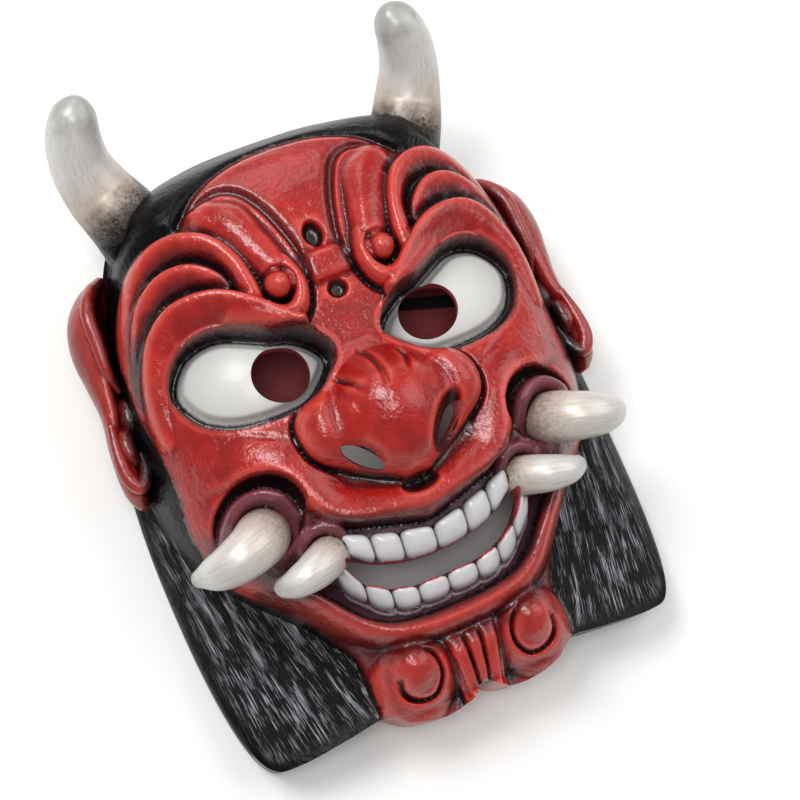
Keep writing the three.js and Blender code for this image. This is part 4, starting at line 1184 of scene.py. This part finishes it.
def coat(tree, where, under, colour, field, start, full, strength=1, ragged=0, grain=3):
    """A coat over what is under it, from where a field reaches start to where it reaches full; it lays paint,
    painted shade and painted highlights alike.
    """
    place = add(tree, "ShaderNodeAttribute", attribute_name=field).outputs["Fac"]
    if ragged:
        # Noise swings by about a quarter each way, so four times that is the stated raggedness
        spots = add(tree, "ShaderNodeTexNoise", {"Vector": where, "Scale": 1 / (grain * MM), "Detail": 3})
        shift = add(tree, "ShaderNodeMath", {0: spots.outputs["Fac"], 1: 0.5}, operation="SUBTRACT")
        place = add(tree, "ShaderNodeMath", {0: shift.outputs[0], 1: 4 * ragged, 2: place},
                    operation="MULTIPLY_ADD").outputs[0]
    amount = add(tree, "ShaderNodeMapRange",
                 {"Value": place, "From Min": start, "From Max": full, "To Max": strength},
                 interpolation_type="SMOOTHSTEP")
    mixed = add(tree, "ShaderNodeMix", {0: amount.outputs["Result"], 6: under, 7: linear(colour)},
                data_type="RGBA")
    return mixed.outputs[2]


def layered(tree, where, base, coats):
    """A base colour under several coats of paint, painted shade and painted highlights."""
    colour = linear(base) if isinstance(base, str) else base
    for layer in coats:
        colour = coat(tree, where, colour, **layer)
    return colour


def relief_of(tree, where, waves, strength=1):
    """A bump from layers of noise, each with the size of its waves and its height in millimetres."""
    normal = None
    for size, rise in waves:
        noise = add(tree, "ShaderNodeTexNoise", {"Vector": where, "Scale": 1 / (size * MM), "Detail": 2})
        inputs = {"Height": noise.outputs["Fac"], "Distance": rise * MM, "Strength": strength}
        if normal:
            inputs["Normal"] = normal
        normal = add(tree, "ShaderNodeBump", inputs).outputs["Normal"]
    return normal


# %% [markdown]
# ## Painted latex
# The casting is natural rubber latex, sprayed red, with purple gums and eyes enamelled white. The
# black and dark red in the creases, hollows, corners and sockets, and round the tusks, is painted shade,
# partly over the black wash of the real mask. The lighter red on the ridges is a painted highlight,
# partly real dry brushing. The coats could be an image wrapped round the mask. Here each is a rule on
# the measures above, so it stays sharp at any size. A latex varnish gives a wet gloss, with highlights
# that break up on the slightly wavy skin; on the eyes it is smooth and only satin. Natural rubber has
# an IOR of about 1.52.

# %% Coats of paint, painted shade and painted highlights on the face
FACE_PAINT_SHADE_AND_HIGHLIGHT = [
    # Painted highlight: lighter red on the ridges, partly real dry brushing
    dict(colour="#C6443A", field="crease", start=-0.05, full=-0.7, strength=0.7, ragged=0.12, grain=6),
    # Painted shade: darker red in the wide hollows
    dict(colour="#6E0C10", field="hollow", start=0.5, full=3.6, strength=0.85, ragged=0.4, grain=8),
    # Painted shade: dark red outside the forehead lobe and between the brows
    dict(colour="#560A0F", field="above_lobe", start=6.5, full=1.5, strength=0.8, ragged=0.4, grain=5),
    dict(colour="#560A0F", field="valley", start=0.12, full=0.42, strength=0.85, ragged=0.05, grain=5),
    # Painted shade: dark red under the lower lip and along the jaw
    dict(colour="#3C080C", field="under_jaw", start=8, full=1, strength=0.8, ragged=0.6, grain=5),
    # Painted shade: dark red and black in creases, furrows, brow valleys and lines, partly the real black
    # wash
    dict(colour="#4A0A10", field="crease", start=0.15, full=1, strength=0.8, ragged=0.1),
    dict(colour="#4E090D", field="furrow", start=0.15, full=1.6, strength=0.8, ragged=0.2, grain=5),
    dict(colour="#160A0D", field="valley", start=0.36, full=0.72, strength=0.95, ragged=0.05, grain=4),
    dict(colour="#1A0A0E", field="furrow", start=1.8, full=3.4, strength=0.93, ragged=0.25, grain=4),
    dict(colour="#130A0C", field="line", start=0.42, full=0.85, strength=0.95, ragged=0.05, grain=2),
    # Dark red and black round the eyes: partly black paint, partly painted shade under the brows
    dict(colour="#4A1519", field="eye", start=5.8, full=3, strength=0.7, ragged=0.2),
    dict(colour="#0E090C", field="eye", start=3.8, full=1.8, strength=0.97, ragged=0.12),
    dict(colour="#6E6E72", field="eye", start=0.4, full=-0.7, ragged=0.25, grain=1.2),
    dict(colour="#C2C2BF", field="eye", start=0.1, full=-1.3, ragged=0.45, grain=1),
    # Painted shade: near black in the nostril funnels
    dict(colour="#0E0809", field="nostril", start=1, full=0.75, strength=0.97, ragged=0.02),
    # Painted shade: darker red on the lips along the mouth
    dict(colour="#4A0A0E", field="mouth", start=5.5, full=1, strength=0.75, ragged=0.45, grain=4),
    dict(colour="#1E0E12", field="mouth", start=1.2, full=-0.5, strength=0.97, ragged=0.2),
    dict(colour="#5E3E4A", field="mouth", start=-0.8, full=-2.6, strength=0.8, ragged=0.6, grain=3),
    # Painted shade: near black in the nooks of the skin
    dict(colour="#160B0E", field="nook", start=0.5, full=1.6, strength=0.95, ragged=0.15),
    # Painted highlight: pale lilac on the swellings of the gums
    dict(colour="#A08C96", field="gum_line", start=0.25, full=0.8, strength=0.75, ragged=0.1, grain=2),
    # Painted shadow: dark red round the tusks
    dict(colour="#2A0C10", field="beside_tusk", start=14, full=5, strength=0.9, ragged=0.9, grain=6),
    # Painted shade: near black in the tusk sockets
    dict(colour="#1A0B0E", field="socket", start=1.5, full=-2.5, strength=0.96, ragged=0.4),
    dict(colour="#74363F", field="collar", start=1.15, full=0.6, strength=0.9, ragged=0.15, grain=2),
    dict(colour="#050506", field="hair", start=-1.2, full=1.2, strength=0.99, ragged=0.7, grain=2.5),
]
# The size of the waves in the red skin and their height, and the size of patches of thicker red
RED_WAVES = [[8, 0.8], [2.4, 0.38], [0.9, 0.13]]
MOTTLE = 14


def in_the_eye(tree, inside, outside):
    """A value inside the eyes that changes to another at their edge."""
    place = add(tree, "ShaderNodeAttribute", attribute_name="eye").outputs["Fac"]
    change = {"Value": place, "From Min": -2, "From Max": 1, "To Min": inside, "To Max": outside}
    return add(tree, "ShaderNodeMapRange", change).outputs["Result"]


tree, where = begun(finishes["painted latex face"])
mottle = add(tree, "ShaderNodeTexNoise", {"Vector": where, "Scale": 1 / (MOTTLE * MM), "Detail": 4})
thicker = add(tree, "ShaderNodeMapRange",
              {"Value": mottle.outputs["Fac"], "From Min": 0.35, "From Max": 0.65})
red = {0: thicker.outputs["Result"], 6: linear("#860D0A"), 7: linear("#A51912")}
colour = layered(tree, where, add(tree, "ShaderNodeMix", red, data_type="RGBA").outputs[2], FACE_PAINT_SHADE_AND_HIGHLIGHT)
finished(tree, Base_Color=colour, Roughness=in_the_eye(tree, 0.42, 0.24), IOR=1.52, Coat_Weight=0.15,
         Coat_Roughness=0.12, Normal=relief_of(tree, where, RED_WAVES, in_the_eye(tree, 0.15, 1)))
print(len(FACE_PAINT_SHADE_AND_HIGHLIGHT), "coats of paint on the face")

# %% [markdown]
# ## Hair, black with silver dry-brushed over it and painted glints
# The pale streaks are partly silver, dragged along the locks with a nearly dry brush that paints only what
# stands up, and partly painted glints where light catches the glossy strands. Separate hairs would be wrong
# here, because the real ones are moulded in the latex. So the streaks are noise, stretched along the strands,
# in patches. A real streak is a few tenths of a millimetre wide, and so are these. Strands shade each other,
# which a smooth skin doesn't, so the black reflects less than plain varnish.

# %% Streaks along the strands
STREAK = dict(wide=0.3, long=13, patch_wide=4, patch_long=30, patchy=0.5)
SILVER_AND_GLINT = dict(start=0.82, full=0.87, strength=0.85)
STRAND_HEIGHT = 0.6


def stretched_noise(tree, across_field, along_field, wide, long, detail):
    """Noise in grains that are wide across and long along two fields, in millimetres."""
    across_node = add(tree, "ShaderNodeAttribute", attribute_name=across_field)
    along_node = add(tree, "ShaderNodeAttribute", attribute_name=along_field)
    shrunk = add(tree, "ShaderNodeMath", {0: along_node.outputs["Fac"], 1: wide / long},
                 operation="MULTIPLY")
    place = add(tree, "ShaderNodeCombineXYZ", {"X": across_node.outputs["Fac"], "Y": shrunk.outputs[0]})
    noise = add(tree, "ShaderNodeTexNoise",
                {"Vector": place.outputs[0], "Scale": 1 / wide, "Detail": detail, "Roughness": 0.6})
    return noise.outputs["Fac"]


tree, where = begun(finishes["black latex hair with silver and painted glints"])
strands = (tree, "strand_across", "strand_along")
streaks = stretched_noise(*strands, STREAK["wide"], STREAK["long"], 2)
patches = stretched_noise(*strands, STREAK["patch_wide"], STREAK["patch_long"], 1)
both = add(tree, "ShaderNodeMath", {0: patches, 1: STREAK["patchy"], 2: streaks}, operation="MULTIPLY_ADD")
combed_share = add(tree, "ShaderNodeAttribute", attribute_name="combed").outputs["Fac"]
silver_and_glint_range = {"Value": both.outputs[0], "From Min": SILVER_AND_GLINT["start"], "From Max": SILVER_AND_GLINT["full"],
              "To Max": SILVER_AND_GLINT["strength"]}
silver_and_glint_share = add(tree, "ShaderNodeMapRange", silver_and_glint_range, interpolation_type="SMOOTHSTEP")
silver_and_glint = add(tree, "ShaderNodeMath", {0: silver_and_glint_share.outputs["Result"], 1: combed_share},
             operation="MULTIPLY")
strand_height = add(tree, "ShaderNodeMath", {0: streaks, 1: combed_share}, operation="MULTIPLY")
combed_relief = add(tree, "ShaderNodeBump",
                    {"Height": strand_height.outputs[0], "Distance": STRAND_HEIGHT * MM,
                     "Normal": relief_of(tree, where, RED_WAVES)})
# Pale streaks: partly silver paint, partly painted glints on the strands
black_to_silver_and_glint = {0: silver_and_glint.outputs[0], 6: linear("#060608"), 7: linear("#A8ABB2")}
colour = add(tree, "ShaderNodeMix", black_to_silver_and_glint, data_type="RGBA").outputs[2]
finished(tree, Base_Color=colour, Roughness=0.32, IOR=1.52, Specular_IOR_Level=0.15,
         Normal=combed_relief.outputs["Normal"])
print("silver streaks", STREAK["wide"], "mm wide on the hair")

# %% [markdown]
# ## Ears
# The ears get a slightly darker red and the same kind of painted shade in creases and in the hollow, with a
# painted highlight on the ridges, but no hairline. They overhang, so the grid can't say where they are deep:
# their creases are read from the mesh, and their hollow from how far a point lies inside the crest.

# %% Painted shade and painted highlights on the ears
EAR_PAINTED_SHADE_AND_HIGHLIGHT = [
    # All of these are painted light: a highlight on the ridges, shade beyond the crest, in the hollow and in
    # the creases
    dict(colour="#C94B40", field="nook", start=0, full=-0.6, strength=0.4, ragged=0.1, grain=6),
    dict(colour="#6A1D1E", field="ear_hollow", start=-2, full=-8, strength=0.6, ragged=0.5, grain=5),
    dict(colour="#4A0A0E", field="ear_hollow", start=0.5, full=3.5, strength=0.9, ragged=0.4, grain=4),
    dict(colour="#12090B", field="ear_hollow", start=3, full=6.5, strength=0.95, ragged=0.4, grain=4),
    dict(colour="#5A0C10", field="nook", start=0.1, full=0.7, strength=0.85, ragged=0.15),
    dict(colour="#130A0C", field="nook", start=0.4, full=1.3, strength=0.95, ragged=0.15),
]
tree, where = begun(finishes["painted latex ear"])
finished(tree, Base_Color=layered(tree, where, "#82130F", EAR_PAINTED_SHADE_AND_HIGHLIGHT), Roughness=0.3, IOR=1.52,
         Coat_Weight=0.35, Coat_Roughness=0.12, Normal=relief_of(tree, where, RED_WAVES))
print(len(EAR_PAINTED_SHADE_AND_HIGHLIGHT), "coats of paint on the ears")

# %% [markdown]
# ## Pearl paint on horns and tusks
# Pearl paint holds mica flakes: a soft silvery sheen, half way between enamel and metal. A little metallic
# with a medium roughness gives that. The roots were tinted brown, the black of the hair was stippled up onto
# the horns, and the brush left faint streaks about 0.7 mm wide along them.

# %% Pearl
PEARL_COATS = [
    dict(colour="#8E8E8A", field="tipward", start=0.76, full=1, strength=0.75, ragged=0.06, grain=7),
    dict(colour="#CABAA8", field="tipward", start=0.75, full=0.35, strength=0.7, ragged=0.05, grain=8),
    dict(colour="#9C866E", field="horn", start=0.65, full=0.38, strength=0.5, ragged=0.08, grain=9),
    dict(colour="#7E6654", field="tipward", start=0.46, full=0.18, strength=0.8, ragged=0.09, grain=2),
]
ROOT_PAINT_AND_SHADE = [
    dict(colour="#2B2622", field="horn", start=0.46, full=0.27, strength=0.75, ragged=0.06, grain=6),
    dict(colour="#08080A", field="horn", start=0.36, full=0.26, strength=0.98, ragged=0.06, grain=1.2),
    # Painted shade: near black in the corners round the horns' roots
    dict(colour="#211A19", field="nook", start=0.3, full=1, strength=0.95, ragged=0.3, grain=1),
]
STROKE = dict(wide=0.7, long=9, start=0.48, full=0.68, strength=0.35)
SMOOTH_WAVES = [[5, 0.15], [1.2, 0.04]]
tree, where = begun(finishes["pearl latex horn"])
strokes = stretched_noise(tree, "stroke_around", "stroke_along", STROKE["wide"], STROKE["long"], 3)
stroke_share = add(tree, "ShaderNodeMapRange", {"Value": strokes, "From Min": STROKE["start"],
                                                "From Max": STROKE["full"], "To Max": STROKE["strength"]})
pearl = layered(tree, where, "#CFCDCA", PEARL_COATS)
streaked = add(tree, "ShaderNodeMix", {0: stroke_share.outputs["Result"], 6: pearl, 7: linear("#8A8284")},
               data_type="RGBA").outputs[2]
finished(tree, Base_Color=layered(tree, where, streaked, ROOT_PAINT_AND_SHADE), Roughness=0.4, IOR=1.5, Metallic=0.2,
         Coat_Weight=0.15, Coat_Roughness=0.2, Normal=relief_of(tree, where, SMOOTH_WAVES))
print("pearl with strokes", STROKE["wide"], "mm wide")

# %% [markdown]
# ## Enamelled teeth
# White paint under varnish, with painted shade in grey on the lower places and darker in the gaps, and a
# crimson line where the slot was cut. Each tooth could be painted alone, but the depth of each place puts
# the painted shade into all the gaps at once.

# %% Teeth
TOOTH_PAINT_AND_SHADE = [
    # Painted shade: grey on the lower places of each tooth and darker in the gaps
    dict(colour="#98979B", field="nook", start=-0.25, full=0.35, strength=0.8, ragged=0.25, grain=1.6),
    dict(colour="#3C3236", field="nook", start=0.3, full=1, strength=0.95, ragged=0.1),
    dict(colour="#A0182A", field="slot", start=1.4, full=0.5, strength=0.95, ragged=0.2, grain=2),
]
TOOTH_WAVES = [[4, 0.15], [1.2, 0.04]]
tree, where = begun(finishes["enamelled latex tooth"])
finished(tree, Base_Color=layered(tree, where, "#CAC9CB", TOOTH_PAINT_AND_SHADE), Roughness=0.28, IOR=1.52,
         Coat_Weight=0.4, Coat_Roughness=0.1, Normal=relief_of(tree, where, TOOTH_WAVES))
print(len(TOOTH_PAINT_AND_SHADE), "coats of paint on the teeth")

# %% [markdown]
# ## Bare latex lining
# Inside, the latex is unpainted: a dull maroon, mottled and slightly uneven where it was poured. The two
# tones are lighter than that maroon: painted light, for light that hardly reaches the inside. It only shows
# through the eye holes, so two tones of slow noise are enough.

# %% Lining
POURED = 10
POURED_WAVES = [[4, 0.3], [1, 0.05]]
tree, where = begun(finishes["bare latex"])
cloudy = add(tree, "ShaderNodeTexNoise", {"Vector": where, "Scale": 1 / (POURED * MM), "Detail": 5})
# Lighter than the real maroon: painted light for the dim inside
colour = add(tree, "ShaderNodeMix", {0: cloudy.outputs["Fac"], 6: linear("#A03C40"), 7: linear("#BC5054")},
             data_type="RGBA").outputs[2]
finished(tree, Base_Color=colour, Roughness=0.6, IOR=1.52, Normal=relief_of(tree, where, POURED_WAVES))
print("lining mottled every", POURED, "mm")

# %% [markdown]
# ## Woven elastic
# Polyester yarn woven over rubber threads: matt black, with a fine weft across the ribs. Each thread could be
# modelled, but so little of the band shows that a pattern of waves does. The real weft is about 0.3 mm
# apart, and it is drawn at 1 mm so that it shows.

# %% Elastic
WEFT = 1
woven = bpy.data.materials.new("woven polyester elastic")
tree, where = begun(woven)
# A wave texture at scale 1 repeats every 2 pi / 20 metres
weft = add(tree, "ShaderNodeTexWave", {"Vector": where, "Scale": 2 * math.pi / (20 * WEFT * MM),
                                       "Distortion": 0.6, "Detail": 1})
colour = add(tree, "ShaderNodeMix", {0: weft.outputs["Fac"], 6: linear("#08080A"), 7: linear("#232326")},
             data_type="RGBA").outputs[2]
bump = add(tree, "ShaderNodeBump", {"Height": weft.outputs["Fac"], "Distance": 0.1 * MM})
finished(tree, Base_Color=colour, Roughness=0.85, IOR=1.55, Normal=bump.outputs["Normal"])
only_finish(band, woven)
print("weft drawn", WEFT, "mm apart")

# %% [markdown]
# ## Floor, light and camera
# The mask lies on a pale floor, face up, as a shop photographs it. A soft light from the upper left gives the
# highlights, a larger one fills from the right, two weak ones stand by the camera and beyond the crown, and
# a pale world fills the shadows, as in a light tent. The camera looks down, leans a little towards the chin
# and the left, and is rolled, so the mask lies at a slant.

# %% Floor
FLOOR_HALF = 2500
FLOOR_THICK = 10
edges = np.array([-FLOOR_HALF, FLOOR_HALF])
floor = block("floor", np.zeros((2, 2)), edges, edges, -FLOOR_THICK, "bare latex")
floor_paper = bpy.data.materials.new("matt white paper")
tree, where = begun(floor_paper)
finished(tree, Base_Color=linear("#F4F4F2"), Roughness=0.9, IOR=1.45)
only_finish(floor, floor_paper)
print("floor", 2 * FLOOR_HALF, "mm wide")

# %% Camera
TARGET = np.array([12.52, -28.08, 55])
DISTANCE = 700
TILT_TO_CHIN = math.radians(10)
TILT_TO_LEFT = math.radians(13)
ROLL = math.radians(23.97)
FRAME_WIDTH = 344

back = np.array([-math.tan(TILT_TO_LEFT), -math.tan(TILT_TO_CHIN), 1])
back /= np.linalg.norm(back)
level = np.cross([0, 1, 0], back)
level /= np.linalg.norm(level)
upright = np.cross(back, level)
picture_right = math.cos(ROLL) * level - math.sin(ROLL) * upright
picture_up = math.sin(ROLL) * level + math.cos(ROLL) * upright


def facing(name, data, at, right, up, away):
    """An object that looks against the direction away, with its own right and up."""
    made = bpy.data.objects.new(name, data)
    bpy.context.scene.collection.objects.link(made)
    axes = np.column_stack([right, up, away, at])
    made.matrix_world = Matrix([*axes.tolist(), [0, 0, 0, 1]])
    return made


lens = bpy.data.cameras.new("camera")
lens.sensor_width = 36
lens.lens = lens.sensor_width * DISTANCE / FRAME_WIDTH
camera = facing("camera", lens, placed(TARGET + DISTANCE * back), picture_right, picture_up, back)
bpy.context.scene.camera = camera
print("lens", round(lens.lens, 1), "mm")

# %% Lights
# Offsets from the target in millimetres, sizes in metres and powers in watts
TENT_STRENGTH = 0.32
LIGHTS = [
    dict(name="key", offset=[-380, 480, 900], size=0.45, power=7.2),
    dict(name="fill", offset=[720, 60, 720], size=0.9, power=4.5),
    dict(name="lamp above the camera", offset=[-200, -80, 940], size=0.3, power=2.6),
    dict(name="top", offset=[100, 900, 500], size=0.5, power=1.5),
]
for light in LIGHTS:
    lamp = bpy.data.lights.new(light["name"], "AREA")
    lamp.size = light["size"]
    lamp.energy = light["power"]
    lamp_object = bpy.data.objects.new(light["name"], lamp)
    bpy.context.scene.collection.objects.link(lamp_object)
    at = Vector(placed(TARGET + light["offset"]))
    lamp_object.location = at
    lamp_object.rotation_euler = (at - Vector(placed(TARGET))).to_track_quat("Z", "Y").to_euler()
world = bpy.data.worlds.new("light tent")
bpy.context.scene.world = world
world.use_nodes = True
tent = world.node_tree.nodes["Background"]
tent.inputs["Color"].default_value = linear("#FFFFFF")
tent.inputs["Strength"].default_value = TENT_STRENGTH
bpy.context.scene.view_settings.view_transform = "Standard"
print(len(LIGHTS), "lights in a light tent")

# %% [markdown]
# ## Hand-over to the frame
# The painted casting stands for the CAD node of the same shape, and the ribbed band for the plain strap.

# %% Ride and replace
for piece, stands_for, slot in ((mask, "mask", "painted_latex"), (band, "elastic_strap", "elastic_band")):
    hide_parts(stands_for)
    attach(piece, "root")
